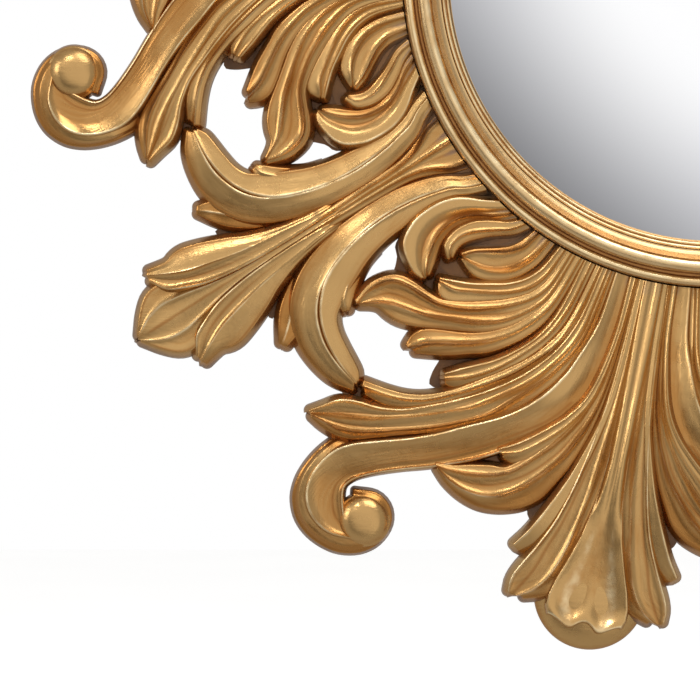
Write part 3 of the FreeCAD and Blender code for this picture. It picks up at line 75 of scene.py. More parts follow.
# ------------------------------------------------------------------- the drawing
PALMETTE_LEAVES: dict[str, Rails] = {
    "lobe_inner": [
        ((-5, -3), [(1.3, 4), (1.1, 40), (0.9, 75), (0.95, 105), (1, 130), (1.2, 150), (1.6, 172), (2.2, 190),
         (2.8, 203), (3.3, 211.5), (4.3, 216.5), (5.5, 220)]),
        (0, [(1.7, 4), (1.6, 60), (1.9, 110), (2.2, 140), (2.6, 160), (3.2, 185), (4, 203), (5, 214), (6.1, 220.3)]),
        (-2.5, [(2.1, 4), (2.2, 60), (2.7, 110), (3.4, 140), (4.2, 168), (4.9, 185), (5.4, 200), (6, 211),
         (6.55, 220.3)]),
        (-0.5, [(2.3, 4), (2.6, 70), (3.1, 105), (3.9, 140), (4.7, 165), (5.6, 183), (6.35, 196), (6.8, 204),
         (7.05, 212), (6.95, 219.5)])],
    "lobe_outer": [
        (-3.8, [(1.5, 4), (1.5, 45), (1.8, 75), (2.4, 100), (3, 120), (3.7, 142), (4.6, 168), (5.4, 184),
         (6.4, 192.8)]),
        (-1.5, [(1.8, 4), (1.8, 45), (2.1, 78), (2.7, 103), (3.4, 125), (4.4, 150), (5.3, 170), (6.3, 185),
         (7.2, 192)]),
        (0, [(2.3, 4), (2.2, 45), (2.5, 80), (3.1, 100), (3.9, 120), (4.7, 138), (5.6, 155), (6.4, 169), (7, 179),
         (7.8, 189.5)])],
    "side_leaf": [
        (-3.8, [(2.7, 4), (2.9, 40), (3.2, 70), (3.7, 95), (4.4, 115), (5.3, 132), (6.3, 146), (7.1, 156),
         (8.2, 163.5), (9.4, 168.5), (10.8, 172.5), (12.4, 174.8), (14.2, 174), (16, 170.5), (17.4, 165.5)]),
        (0, [(2.9, 4), (3.1, 40), (3.5, 75), (4.3, 98), (5.7, 120), (6.75, 132), (7.95, 143), (9.15, 153),
         (10.4, 161), (12, 167), (13.9, 169.5), (15.8, 168.6), (17.5, 165)]),
        (-3.2, [(3.05, 4), (3.3, 40), (3.8, 75), (4.8, 98), (6.4, 121), (7.45, 131), (8.5, 140), (9.85, 149),
         (11.6, 158), (13.65, 163.8), (15.9, 165.8), (17.6, 164.5)]),
        (-0.5, [(3.2, 4), (3.5, 40), (4.2, 75), (5.4, 97), (7.2, 117), (8.4, 128), (9.5, 137), (10.8, 146.5),
         (12.4, 153), (14.3, 158.2), (16.2, 162), (17.7, 164)]),
        (-3, [(3.35, 4), (3.6, 40), (4.5, 75), (6, 98), (8, 118), (9.2, 129), (10.2, 138), (11.4, 146), (13, 149),
         (14.85, 154.5), (16.2, 159.5), (17.75, 163.3)])],
    "small_leaf": [
        (-3.4, [(3.1, 4), (3.2, 35), (3.8, 66), (4.6, 87), (5.9, 103), (7.4, 116), (8.8, 127), (9.9, 135.5),
         (10.9, 139.8), (12, 139)]),
        (-0.5, [(3.35, 4), (3.4, 35), (4.05, 66), (4.9, 86), (6.3, 101.5), (7.9, 114.5), (9.5, 125.5), (10.8, 133),
         (12.3, 137.5)]),
        (-2.5, [(3.6, 4), (3.6, 35), (4.25, 65), (5.15, 85), (6.6, 100.5), (8.3, 113), (9.9, 123.5), (11.2, 131),
         (12.5, 136.6)]),
        (0, [(4, 4), (3.9, 35), (4.5, 64), (5.4, 84), (6.9, 99.5), (8.7, 112), (10.3, 122.5), (11.5, 129.8),
         (12.7, 135.6)])],
    "stem": [
        ((-5, -1.5), [(4.5, 4), (4.5, 30), (4.8, 55), (5.3, 75), (6.1, 92), (7.5, 107), (9.5, 120), (11.6, 131),
         (13.4, 141), (15, 150), (16.8, 159), (18.6, 168), (20.4, 177), (21.9, 186), (23, 194), (23.7, 201),
         (23.95, 208), (23.6, 214), (23.1, 219), (22.5, 224), (21.8, 228), (20.5, 229.3)]),
        ((-4, -3.6), [(5.2, 4), (5.3, 30), (5.5, 55), (6.1, 75), (7.1, 90), (8.8, 105), (11, 118), (13, 130),
         (14.8, 141), (16.8, 152), (18.9, 164), (20.9, 174), (22.4, 184), (23.5, 193), (24.3, 201), (24.55, 209),
         (24.3, 216), (23.8, 222), (23.1, 227), (22, 230.3), (20.5, 230.3)]),
        ((-1.8, -3), [(6, 4), (6.1, 30), (6.6, 55), (7.6, 78), (9.3, 95), (12, 112), (14.5, 127), (16.8, 141),
         (19.2, 154), (21.5, 167), (23.3, 179), (24.6, 190), (25.4, 200), (25.7, 209), (25.5, 218), (24.9, 226),
         (23.9, 231.5), (22.3, 233.6), (20.6, 231.3)]),
        (0, [(6.67, 4), (6.75, 30), (7.1, 42), (7.6, 52), (8.2, 63), (9, 76), (10.9, 96), (13.65, 115), (17.2, 134),
         (19.3, 147), (21.6, 160), (23.6, 171), (25.2, 181), (26.2, 190), (26.65, 199), (26.75, 208), (26.6, 217),
         (26.1, 226), (25.2, 233), (24, 237), (22.6, 237.6), (20.9, 233.2)])],
    "scroll": [
        ((-0.4, -4.5), [(25.6, 180), (26.3, 188), (26.6, 196), (26.65, 205), (26.6, 215), (26.2, 224), (25.4, 231.5),
         (24.2, 236), (22.8, 237), (21.5, 235), (20.6, 230.5), (20.1, 225), (19.9, 219), (20.1, 213.5), (20.7, 210),
         (21.4, 209.3), (22.2, 211.5)]),
        ((-2.4, -5.5), [(26.2, 180), (26.9, 188), (27.2, 196), (27.35, 205), (27.3, 215), (26.9, 225), (26.1, 234),
         (24.8, 241), (23.3, 243.5), (21.6, 242), (20.2, 236), (19.4, 228), (19.1, 219), (19.4, 211), (20.2, 205.5),
         (21.3, 204.5), (22.7, 209)]),
        ((-6.5, -8), [(26.7, 180), (27.2, 188), (27.5, 196), (27.65, 205), (27.6, 215), (27.3, 225), (26.6, 235),
         (25.3, 243.5), (23.6, 247.3), (21.6, 246), (20, 239.5), (19, 230), (18.65, 219), (18.9, 209.5),
         (19.8, 202.5), (21.2, 200.7), (22.9, 206.5)])],
    "upper_tip": [
        (-4.2, [(7.3, 4), (7.5, 30), (7.9, 45), (8.7, 62), (9.8, 78), (11.2, 92), (13, 107), (14.8, 120), (17.2, 133),
         (19.7, 145), (22.3, 158), (24.2, 169), (25.7, 178.5), (27.2, 184), (28.8, 186), (30.1, 186)]),
        (-0.5, [(7.8, 4), (8, 30), (8.3, 45), (8.9, 57), (10.4, 75), (11.8, 88), (13.5, 102), (15.4, 118),
         (17.9, 132), (20.4, 145.5), (23, 158.5), (25, 169.5), (26.7, 177.5), (28.5, 182.5), (30.2, 185.6)]),
        (-3, [(8.1, 4), (8.4, 30), (8.6, 45), (9.3, 60), (10.9, 77), (12.4, 90), (14.2, 104), (16, 119), (18.8, 135),
         (21.4, 148), (24, 161), (26, 170.5), (27.7, 177.3), (29.1, 181.5), (30.3, 185.2)]),
        (0, [(8.5, 4), (8.7, 30), (9, 45), (9.9, 60), (11.5, 77), (13, 90), (15.2, 105), (17.3, 119), (19.7, 131),
         (22.3, 145), (25, 159), (27, 168.5), (28.6, 175.5), (29.6, 180.5), (30.4, 184.8)]),
        (-2.8, [(8.9, 4), (9.2, 30), (9.6, 45), (10.6, 62), (12.3, 79), (14.2, 94), (16.6, 110), (18.5, 122),
         (20, 131.5), (22, 141), (23.5, 148.5), (25, 156), (26.7, 163.5), (28.3, 171.5), (29.6, 179), (30.5, 184.4)]),
        (-0.5, [(9.3, 4), (9.6, 30), (10.1, 45), (11.2, 62), (13, 79), (15, 94), (17.5, 110), (19.7, 123),
         (21.6, 134), (23.4, 144.5), (25, 151.5), (26.3, 155.8), (27.5, 158.9), (28.6, 163), (29.4, 168), (30, 176),
         (30.6, 184)])],
    "short_tip": [
        (-3.2, [(9.5, 4), (9.9, 30), (10.6, 45), (11.9, 62), (13.7, 80), (15.7, 95), (18, 110), (20.2, 124),
         (22.2, 135), (24, 144), (25.6, 149), (27.6, 151.6)]),
        (0, [(9.95, 4), (10.3, 28), (10.9, 45), (11.8, 60), (13.4, 74), (15.4, 89), (17.9, 105), (19.8, 117),
         (21.8, 129), (23.6, 137), (25.6, 143.2), (28.3, 149.4)]),
        (-2, [(10.4, 4), (10.8, 28), (11.3, 45), (12.4, 59), (13.9, 73), (15.9, 87), (18.3, 103), (20.2, 116.5),
         (22.2, 128), (24, 135.5), (26, 141), (28.5, 146.6)])],
    "inner_lobe": [
        (-3.8, [(11.1, 4), (11.5, 28), (12, 45), (13.1, 60), (14.6, 74), (16.4, 87), (18.2, 99), (19.5, 108),
         (20.5, 113.8), (21.4, 114.8)]),
        (-0.5, [(11.6, 4), (11.9, 28), (12.5, 45), (13.5, 59), (15.2, 74), (17, 88), (18.7, 99), (20.3, 107.5),
         (21.7, 113)]),
        (-3, [(12.1, 4), (12.3, 28), (12.9, 44), (14, 59), (15.7, 73), (17.5, 87), (19.3, 98), (20.7, 105.5),
         (21.9, 111.8)]),
        (0, [(12.6, 4), (12.9, 30), (13.4, 46), (14.5, 61), (16.2, 75), (17.9, 86.5), (19.3, 94), (20.6, 101),
         (22, 110)])],
    "leaf_lobe": [
        (-3.4, [(13.2, 4), (13.8, 30), (14.6, 48), (16, 62), (17.7, 74), (19.4, 83.5), (21, 89.5), (22.3, 95),
         (23.6, 100.3), (25, 105.3), (26.3, 110)]),
        (0, [(13.7, 4), (14.3, 30), (15.3, 46), (17, 61), (19, 73), (20.8, 81.5), (22.6, 88.5), (24.4, 95), (26, 102),
         (27.1, 110.8)]),
        (-3, [(14.3, 4), (14.9, 28), (16, 44), (18, 60), (19.9, 70.5), (21.8, 78.3), (23.7, 84.5), (25.6, 90),
         (27.2, 96.5), (27.75, 103), (27.6, 110)])],
    "long_leaf": [
        (-3.4, [(14.4, 4), (15, 28), (16.1, 43), (18.1, 59), (20.2, 69.5), (22.3, 77), (24.5, 83.5), (26.6, 90.5),
         (28.4, 97), (30.2, 102), (31.6, 103.8), (32.9, 104.2), (33.8, 107), (34.7, 112)]),
        (-1, [(14.8, 4), (15.4, 28), (16.6, 43), (18.9, 58), (21.2, 67.5), (23.6, 75), (26, 81.5), (28.2, 88),
         (30.2, 92.5), (32, 97), (33.5, 103), (34.85, 112.5)]),
        (-3.6, [(15.2, 4), (15.8, 27), (17.1, 42), (19.5, 54.5), (21.8, 63), (23.3, 68.5), (25.3, 75), (27.4, 81.2),
         (29.2, 85), (31, 87.5), (32.5, 91), (33.7, 96.5), (34.95, 112.8)]),
        (0, [(15.6, 4), (16.2, 24), (17.5, 38), (20, 50.5), (22.3, 59.5), (24.5, 67.5), (26.5, 73.3), (28.2, 77),
         (30.2, 79), (31.8, 80.5), (33.2, 83), (34.2, 87), (34.9, 94), (35.2, 103), (35.1, 112.6)]),
        (-2.5, [(16, 4), (16.7, 22), (18.1, 36), (20.6, 48), (22.8, 56.5), (25, 64.8), (26.8, 71), (28.2, 74.8),
         (30.2, 76.5), (31.9, 77.6), (33.4, 79.8), (34.5, 83.8), (35.2, 90), (35.6, 99), (35.3, 112.2)])],
    "short_leaf": [
        (-3.4, [(16.3, 4), (16.9, 21), (18.3, 35), (20.9, 47), (23.2, 55.6), (25.3, 63.5), (27, 69.8), (28.4, 71.2),
         (29.5, 66.5)]),
        (-0.5, [(16.8, 4), (17.4, 20), (18.7, 33), (21, 43.5), (23.5, 51.5), (25.8, 58.5), (27.6, 63.5),
         (29.6, 65.3)]),
        (-3, [(17.2, 4), (17.8, 19), (19.1, 31), (21.2, 41), (23.5, 48.7), (25.7, 55.2), (27.4, 60), (29.7, 64.4)]),
        (0, [(17.7, 4), (18.5, 18), (19.8, 29.5), (21.8, 39), (24, 46.3), (26, 53), (27.8, 58), (29.8, 63.4)])],
    "root_leaf": [
        (-3, [(19.2, 4), (19.6, 13), (20.3, 22.5), (21.4, 31), (22.8, 37.8), (24.3, 42.8), (25.9, 46.2), (27.4, 46.6),
         (29.3, 44.4)]),
        (0, [(20.1, 4), (20.7, 14), (21.7, 24), (23, 31.5), (24.8, 37.5), (26.8, 41.5), (29.5, 43.4)]),
        (-3, [(21.1, 4), (21.6, 14), (22.6, 24), (24, 31.5), (25.8, 37), (27.8, 40.3), (29.6, 42.8)]),
        (0, [(22.2, 4), (22.9, 12), (23.7, 17.5), (24.6, 22), (25.9, 26.5), (27.4, 31.5), (28.7, 36.5),
         (29.7, 42.2)]),
        (-3.4, [(23, 4), (23.8, 11.5), (24.8, 18.5), (26.2, 24.5), (27.7, 30), (29, 35.5), (29.9, 41.6)])],
    "inner_curl": [
        (-3.4, [(24.4, 4), (25.7, 9), (27.3, 15), (28.7, 20.5), (29.9, 27), (30.8, 33), (31.2, 38.5), (31.1, 43.5),
         (30.8, 47.5)]),
        (-1, [(25.2, 4), (26.7, 9), (28.4, 15), (29.9, 21), (31.1, 27), (31.9, 33.5), (32.1, 39.5), (31.9, 44.5),
         (30.95, 49)]),
        (-2, [(26.1, 4), (27.6, 7), (29.2, 11.5), (30.7, 16.5), (31.9, 22), (32.6, 28), (32.95, 34.5), (32.9, 40),
         (32.5, 45.5), (31.1, 50)])],
    "outer_curl": [
        (-3.8, [(27.2, 4), (28.9, 8.5), (30.6, 13.5), (32.1, 19), (33.1, 25.5), (33.7, 32), (33.8, 39), (33.5, 46),
         (32.8, 53), (32.1, 59), (31.5, 66.5)]),
        (-1, [(28, 4), (30.1, 9), (32, 14.8), (33.4, 21), (34.3, 28), (34.6, 36), (34.5, 44), (33.9, 52), (33.1, 59),
         (32.1, 65.5), (31.5, 68.6)]),
        (-3.4, [(29, 4), (31.2, 9.8), (33, 16.5), (34.2, 23.5), (35, 30.5), (35.5, 38), (35.5, 45), (35.1, 52),
         (34.2, 59), (32.8, 66), (31.55, 69.7)]),
        (-0.5, [(30, 4), (32.4, 9), (34.3, 16), (35.7, 23), (36.6, 31), (37, 39), (36.8, 47), (36.2, 55), (35, 62),
         (33.3, 68.5), (31.7, 70.5)]),
        (0, [(31.2, 4), (33.4, 8), (35.2, 13.5), (36.5, 19), (37.4, 25.5), (37.9, 32), (38.15, 41), (38.1, 49),
         (37.6, 57), (36.9, 63), (35.9, 67), (34.4, 70), (33, 71.7), (31.9, 71.2)])],
}
FAN_LEAVES: dict[str, Rails] = {
    "hook": [
        (-0.4, [(36, 4), (37.2, 9), (38.9, 17.5), (39.8, 27), (40.5, 36), (41, 46), (41.35, 57), (41.45, 68),
         (41.3, 80), (41, 92), (40.5, 104), (39.7, 116), (38.8, 127), (37.3, 137), (35.6, 143.5), (33.8, 148),
         (31.6, 150.5), (29.4, 151.5)]),
        (-1.7, [(36.7, 4), (38, 8.5), (39.7, 16.5), (40.7, 25.5), (41.4, 34.5), (41.9, 44), (42.3, 55), (42.4, 67),
         (42.3, 79), (42, 92), (41.5, 105), (40.7, 119), (39.6, 131.5), (38.2, 141.5), (36.4, 149), (34.3, 153.5),
         (31.8, 155), (29.2, 153.3)]),
        (-3.6, [(37.6, 4), (38.9, 8.5), (40.2, 14.5), (41.3, 21.5), (42.1, 29.5), (42.7, 38), (43.15, 47), (43.4, 57),
         (43.5, 68), (43.45, 80), (43.3, 92), (42.9, 106), (42.2, 120), (41.2, 133), (39.8, 144.5), (37.9, 153.5),
         (35.6, 159), (33.2, 160.8), (31, 159.8), (29, 155)])],
    "hook_side_tip": [
        (-4.6, [(40.8, 100), (40.3, 118), (39.3, 134), (38.1, 146), (37, 155), (36.7, 165.5)]),
        (-4, [(41.8, 100), (41.3, 119), (40.2, 136), (39, 148.5), (37.9, 158), (37.05, 166.8)]),
        (-4.8, [(43, 100), (42.4, 119), (41.45, 136), (40.25, 149.5), (39, 158.5), (37.3, 167.5)])],
    "hook_inner": [
        (-2.5, [(34.6, 4), (35.9, 9.5), (37.3, 17.5), (38.3, 26.5), (38.8, 36), (38.85, 46), (38.7, 57), (38.7, 70),
         (38.5, 81), (38.1, 92), (37.5, 102), (36.9, 112), (36.3, 121), (35.6, 129), (34.3, 134.5), (32.6, 138.3),
         (31, 141.5), (29.8, 144.5), (29.2, 148.5)]),
        (-1.5, [(34.9, 4), (36.2, 9.3), (37.9, 17.5), (38.9, 26.5), (39.5, 36), (39.9, 46), (40.1, 57), (40.1, 69),
         (39.9, 80), (39.5, 91), (38.9, 101), (38.2, 111), (37.4, 120), (36.5, 129), (35, 136.5), (33.3, 141.5),
         (31.4, 145.2), (29.2, 149.5)]),
        (0, [(35.3, 4), (36.6, 9.3), (38.3, 18), (39.3, 27.5), (40, 37), (40.5, 47), (40.85, 57), (41, 69),
         (40.95, 80), (40.7, 91), (40.3, 102), (39.7, 113), (38.9, 122), (37.6, 131), (36, 138.5), (34.1, 144),
         (31.8, 148), (29.2, 150.5)])],
    "hook_barb": [
        (-4, [(38.4, 80), (38, 91), (37.3, 100.5), (36.5, 108.5), (35.7, 115.5), (35.2, 120)]),
        (-2.2, [(39, 80), (38.6, 92), (38, 102), (37.2, 111), (36.2, 118.5), (35.3, 121.3)]),
        (-3.4, [(39.5, 80), (39.2, 93), (38.6, 104), (37.8, 113.5), (36.7, 121), (35.5, 122.8)])],
    "side_lobe": [
        (-3, [(43.55, 80), (43.5, 98), (43.3, 112), (42.9, 126), (42.4, 137), (41.8, 148), (41.1, 158), (40.6, 167),
         (40.15, 177), (39.85, 187), (39.95, 194), (40.3, 200), (40.25, 207), (40.15, 213)]),
        (-1, [(43.7, 80), (43.65, 100), (43.35, 118), (42.95, 136), (42.3, 154), (41.6, 171), (41.1, 186),
         (40.8, 199), (40.35, 214)]),
        (0, [(43.85, 80), (43.8, 102), (43.5, 120), (43.2, 140), (42.85, 158), (42.4, 174), (41.9, 190), (41.3, 202),
         (40.55, 214.5)]),
        (-2, [(44, 80), (44.1, 102), (44, 125), (43.8, 146), (43.5, 165), (43, 183), (42.4, 197), (41.6, 207),
         (40.75, 214.8)]),
        (0, [(44.2, 80), (44.4, 104), (44.5, 122), (44.45, 145), (44.25, 164), (43.8, 184), (43.1, 198), (42.4, 208),
         (41.1, 214.8)])],
}
# Leaves that straddle an axis: rails of one side, from the axis outwards.
FAN_CENTRE: Rails = [
    ((-1.5, -0.9), [(45, 60), (45, 120), (45, 180), (45, 240)]),
    ((-0.3, -0.6), [(44.75, 60), (44.75, 95), (44.75, 130), (44.6, 160), (44.2, 182), (43.7, 200), (43.5, 215),
     (43.9, 228), (44.85, 240)]),
    ((-4.5, -1.6), [(44.5, 60), (44.5, 95), (44.5, 130), (44.4, 155), (44, 174), (43.2, 190), (42.35, 203),
     (41.85, 214), (42.2, 223), (43.3, 231.5), (44.7, 239.5)])]
SPANDREL: Rails = [
    (0, [(45, 4), (45, 20), (45, 45), (45, 75), (45, 110)]),
    (-3, [(43.2, 4), (43.7, 11), (44.2, 22), (44.5, 35), (44.7, 50), (44.75, 75), (44.8, 110)]),
    (-1, [(40.5, 4), (41.2, 9), (42.2, 15), (43.1, 21), (43.75, 28), (44.1, 37), (44.3, 48), (44.4, 62), (44.5, 80),
     (44.6, 110)]),
    (-5.5, [(39.6, 4), (40.6, 10), (41.6, 16.5), (42.5, 23.5), (43.2, 31), (43.6, 40), (43.8, 52), (43.95, 66),
     (44.1, 84), (44.3, 110)])]
# Ground left at the bottom of the recesses: (height, outline).
PALMETTE_GROUND: Rails = [
    (5, [(25.5, 50), (38.1, 50), (37.9, 62), (37.3, 69.5), (36.1, 73), (35.3, 78), (34.6, 82), (30, 80), (26, 66)]),
    (5, [(17.5, 76), (19.4, 80), (23.5, 98), (23.5, 106), (23.3, 116), (22.6, 122), (19, 114), (17, 95)]),
    (8, [(10.2, 136), (12.8, 132), (15.5, 142), (18.3, 162), (17.6, 165), (14, 153), (10.5, 147)]),
    (10, [(4.6, 128), (6, 138), (7.7, 164), (7.4, 170), (6.6, 172), (5, 152)]),
    (8, [(25.4, 149), (28.2, 146.5), (30, 148), (30.2, 157), (28.8, 163), (26.6, 158)])]
FAN_GROUND: Rails = [
    (6, [(42.9, 112), (42.2, 132), (40.9, 149), (39.6, 161), (40.1, 163), (41.5, 152), (43, 130)])]

# ------------------------------------------------------------------- measurements
MOULDING_RADIUS = 205.0
SIGHT_RADIUS = 175.6
GLASS_RADIUS = 184.0
GLASS_RISE = 28.0
GLASS_THICKNESS = 3.0
BACK_Y = -20.0                # flat back of the carving
REPEAT = 90.0
AXIS = 45.0                   # drawn angle of a fan axis
FIRST_PALMETTE = 11.5         # degrees from straight down, clockwise from the front
WIDE = 46.2
NARROW = REPEAT - WIDE
ROOT_HEIGHT = 13.0            # of the ridges beside the moulding,
CREST_HEIGHT = 25.0           # where the carving is fullest
TIP_HEIGHT = 15.0             # and at its tips
CREST_D = 100.0               # where it is fullest
TIP_D = 250.0                 # and where it ends
ROOT_D = 4.0                  # drawn start of a leaf,
ROOT_TUCK = 3.4               # which really runs on to the moulding
LEAF_DRAFT = 4.6              # how far a side wall stands out at its foot,
STEM_DRAFT = 3.0              # and that of the stems and scrolls
FOOT_STEP = 0.03              # between the undersides of the parts of a block
SPAN_STEPS = 16               # steps between two given points of a curve
SLOPE_LIMIT = 1.2             # longest slope of a curve, in spans


class Half(Enum):
    """The two halves of a repeat, which differ a little in width."""

    WIDE = 1
    NARROW = -1


def drawn_angle(phi: float | np.ndarray, half: Half) -> np.ndarray:
    """Degrees from straight down for drawn angles.

    Below 0 and above 45 a drawn angle carries on into the half next to it, so
    the angle is a straight line in three parts.

    Args:
        phi: Drawn angles.
        half: The half of the repeat they lie in.

    Returns:
        Angles from straight down, clockwise as seen from the front.
    """
    near, far = (WIDE, NARROW) if half is Half.WIDE else (NARROW, WIDE)
    phi = np.asarray(phi)
    turned = np.where(phi < 0, phi * far / AXIS, phi * near / AXIS)
    turned = np.where(phi > AXIS, near + (phi - AXIS) * far / AXIS, turned)
    return FIRST_PALMETTE + half.value * turned


def in_plan(phi: float | np.ndarray, d: float | np.ndarray, half: Half, turn: float) -> np.ndarray:
    """Plan of drawn points: x = -r sin a and z = -r cos a, a being the angle from straight down.

    Args:
        phi: Drawn angles.
        d: Distances from the moulding.
        half: Half of the repeat.
        turn: Turn of the block in degrees.

    Returns:
        Millimetres, x and z along the last axis.
    """
    a = np.radians(drawn_angle(phi, half) + turn)
    r = MOULDING_RADIUS + d
    return np.stack([-r * np.sin(a), -r * np.cos(a)], axis=-1)


def to_space(x: np.ndarray, z: np.ndarray, height: np.ndarray) -> np.ndarray:
    """Points in metres from plan millimetres and a height over the carving's back."""
    return np.stack([x, BACK_Y - height, z], axis=-1) * MM


def eased(t: np.ndarray) -> np.ndarray:
    """Step from 0 to 1 along 3 t^2 - 2 t^3, held beyond its ends."""
    t = np.clip(t, 0.0, 1.0)
    return t**2 * (3 - 2 * t)


def crest_line(d: np.ndarray) -> np.ndarray:
    """Height of the ridges over the back: smooth steps from 13 up to 25 and down to 15 mm."""
    up = ROOT_HEIGHT + (CREST_HEIGHT - ROOT_HEIGHT) * eased(d / CREST_D)
    return up + (TIP_HEIGHT - CREST_HEIGHT) * eased((d - CREST_D) / (TIP_D - CREST_D))


def cubic(t: np.ndarray, ends: tuple[np.ndarray, np.ndarray], slopes: tuple[np.ndarray, np.ndarray]) -> np.ndarray:
    """Cubic between two values with a given slope at either.

    Args:
        t: Share of the way, 0 to 1.
        ends: The two values.
        slopes: Slopes at them, over the whole way.

    Returns:
        Values at t.
    """
    return ((2 * t**3 - 3 * t**2 + 1) * ends[0] + (t**3 - 2 * t**2 + t) * slopes[0]
            + (3 * t**2 - 2 * t**3) * ends[1] + (t**3 - t**2) * slopes[1])


def running(steps: np.ndarray) -> np.ndarray:
    """Running sum of steps along the first axis, from 0."""
    return np.concatenate([0 * steps[:1], np.cumsum(steps, axis=0)])


def smooth_run(points: np.ndarray, number: int, marks: np.ndarray | None = None) -> np.ndarray:
    """Evenly spaced points on a smooth curve through the given ones.

    Each span is a cubic with the chord between its neighbours as its slope,
    held to 1.2 times the span's own length, and the whole is cut at equal steps
    of its running length or of the marks.

    Args:
        points: Given points, one per row.
        number: How many points to return.
        marks: Running lengths to step by, or None for the curve's own.

    Returns:
        The points, one per row.
    """
    span = np.diff(points, axis=0)
    slope = np.concatenate([span[:1], (points[2:] - points[:-2]) / 2, span[-1:]])
    reach = np.linalg.norm(span[:, :2], axis=1, keepdims=True)

    def held(m: np.ndarray) -> np.ndarray:
        """Slopes no longer than the limit."""
        size = np.maximum(np.linalg.norm(m[:, :2], axis=1, keepdims=True), 1e-9)
        return (m * np.minimum(1.0, SLOPE_LIMIT * reach / size))[:, None]

    t = (np.arange(SPAN_STEPS) / SPAN_STEPS)[None, :, None]
    fine = cubic(t, (points[:-1, None], points[1:, None]), (held(slope[:-1]), held(slope[1:])))
    fine = np.concatenate([fine.reshape(-1, points.shape[1]), points[-1:]])
    if marks is None:
        run = running(np.linalg.norm(np.diff(fine[:, :2], axis=0), axis=1))
    else:
        run = np.interp(np.arange(len(fine)) / SPAN_STEPS, np.arange(len(marks)), marks)
    goal = np.linspace(0.0, run[-1], number)
    return np.stack([np.interp(goal, run, column) for column in fine.T], axis=1)


@dataclass
class Surface:
    """A patch of mesh: points in metres, polygons, and values carried on the points."""

    points: np.ndarray
    polygons: list[np.ndarray]
    values: dict[str, np.ndarray] = field(default_factory=dict)
    uv: np.ndarray | None = None


def grid_quads(rows: int, columns: int, wrap: bool = False, close: bool = False) -> np.ndarray:
    """Quads between neighbouring points of a grid.

    Args:
        rows: Rows of the grid.
        columns: Columns of the grid.
        wrap: Whether the last column joins the first.
        close: Whether the last row joins the first.

    Returns:
        Corner numbers, four per quad.
    """
    i = np.arange(rows if close else rows - 1)[:, None]
    j = np.arange(columns if wrap else columns - 1)[None, :]
    i, up = i * columns, (i + 1) % rows * columns
    k = (j + 1) % columns
    return np.stack([i + j, i + k, up + k, up + j], axis=-1).reshape(-1, 4)


def joined(patches: list[Surface]) -> Surface:
    """One surface from several, their points and values put end to end.

    Args:
        patches: The surfaces; a value that one lacks is 0 there, and its missing UV is its plan.

    Returns:
        The whole.
    """
    start = np.cumsum([0] + [len(p.points) for p in patches])
    polygons = [q + s for p, s in zip(patches, start) for q in p.polygons]
    names = sorted({n for p in patches for n in p.values})
    values = {n: np.concatenate([p.values.get(n, np.zeros(len(p.points))) for p in patches]) for n in names}
    uv = np.concatenate([p.uv if p.uv is not None else p.points[:, [0, 2]] for p in patches])
    return Surface(np.concatenate([p.points for p in patches]), polygons, values, uv)


def piece(name: str, surface: Surface, finish: bpy.types.Material, body: str,
          stands_for: tuple[str, ...], crease: float = 48.0) -> bpy.types.Object:
    """Put a surface into a mesh object that rides on a body.

    Args:
        name: Name of the object.
        surface: Points, polygons and values.
        finish: Its material.
        body: Body that it moves with.
        stands_for: Nodes that it shows instead of.
        crease: Angle in degrees past which an edge stays sharp.

    Returns:
        The new object.
    """
    mesh = bpy.data.meshes.new(name)
    sizes = np.concatenate([np.full(len(p), p.shape[1]) for p in surface.polygons])
    loops = np.concatenate([p.ravel() for p in surface.polygons])
    mesh.vertices.add(len(surface.points))
    mesh.vertices.foreach_set("co", surface.points.astype(np.float32).ravel())
    mesh.loops.add(len(loops))
    mesh.loops.foreach_set("vertex_index", loops.astype(np.int32))
    mesh.polygons.add(len(sizes))
    mesh.polygons.foreach_set("loop_start", running(sizes)[:-1].astype(np.int32))
    mesh.polygons.foreach_set("use_smooth", np.ones(len(sizes), dtype=bool))
    mesh.update(calc_edges=True)
    if surface.uv is not None:
        layer = mesh.uv_layers.new(name="grain")
        layer.data.foreach_set("uv", surface.uv[loops].astype(np.float32).ravel())
    for key, value in surface.values.items():
        mesh.attributes.new(key, "FLOAT", "POINT").data.foreach_set("value", value.astype(np.float32))
    mesh.validate()
    mesh.set_sharp_from_angle(angle=math.radians(crease))
    mesh.materials.append(finish)
    made = bpy.data.objects.new(name, mesh)
    bpy.context.scene.collection.objects.link(made)
    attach(made, body)
    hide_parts(*stands_for)
    log.info("%s: %d points, %d faces, on %s", name, len(mesh.vertices), len(mesh.polygons), body)
    return made


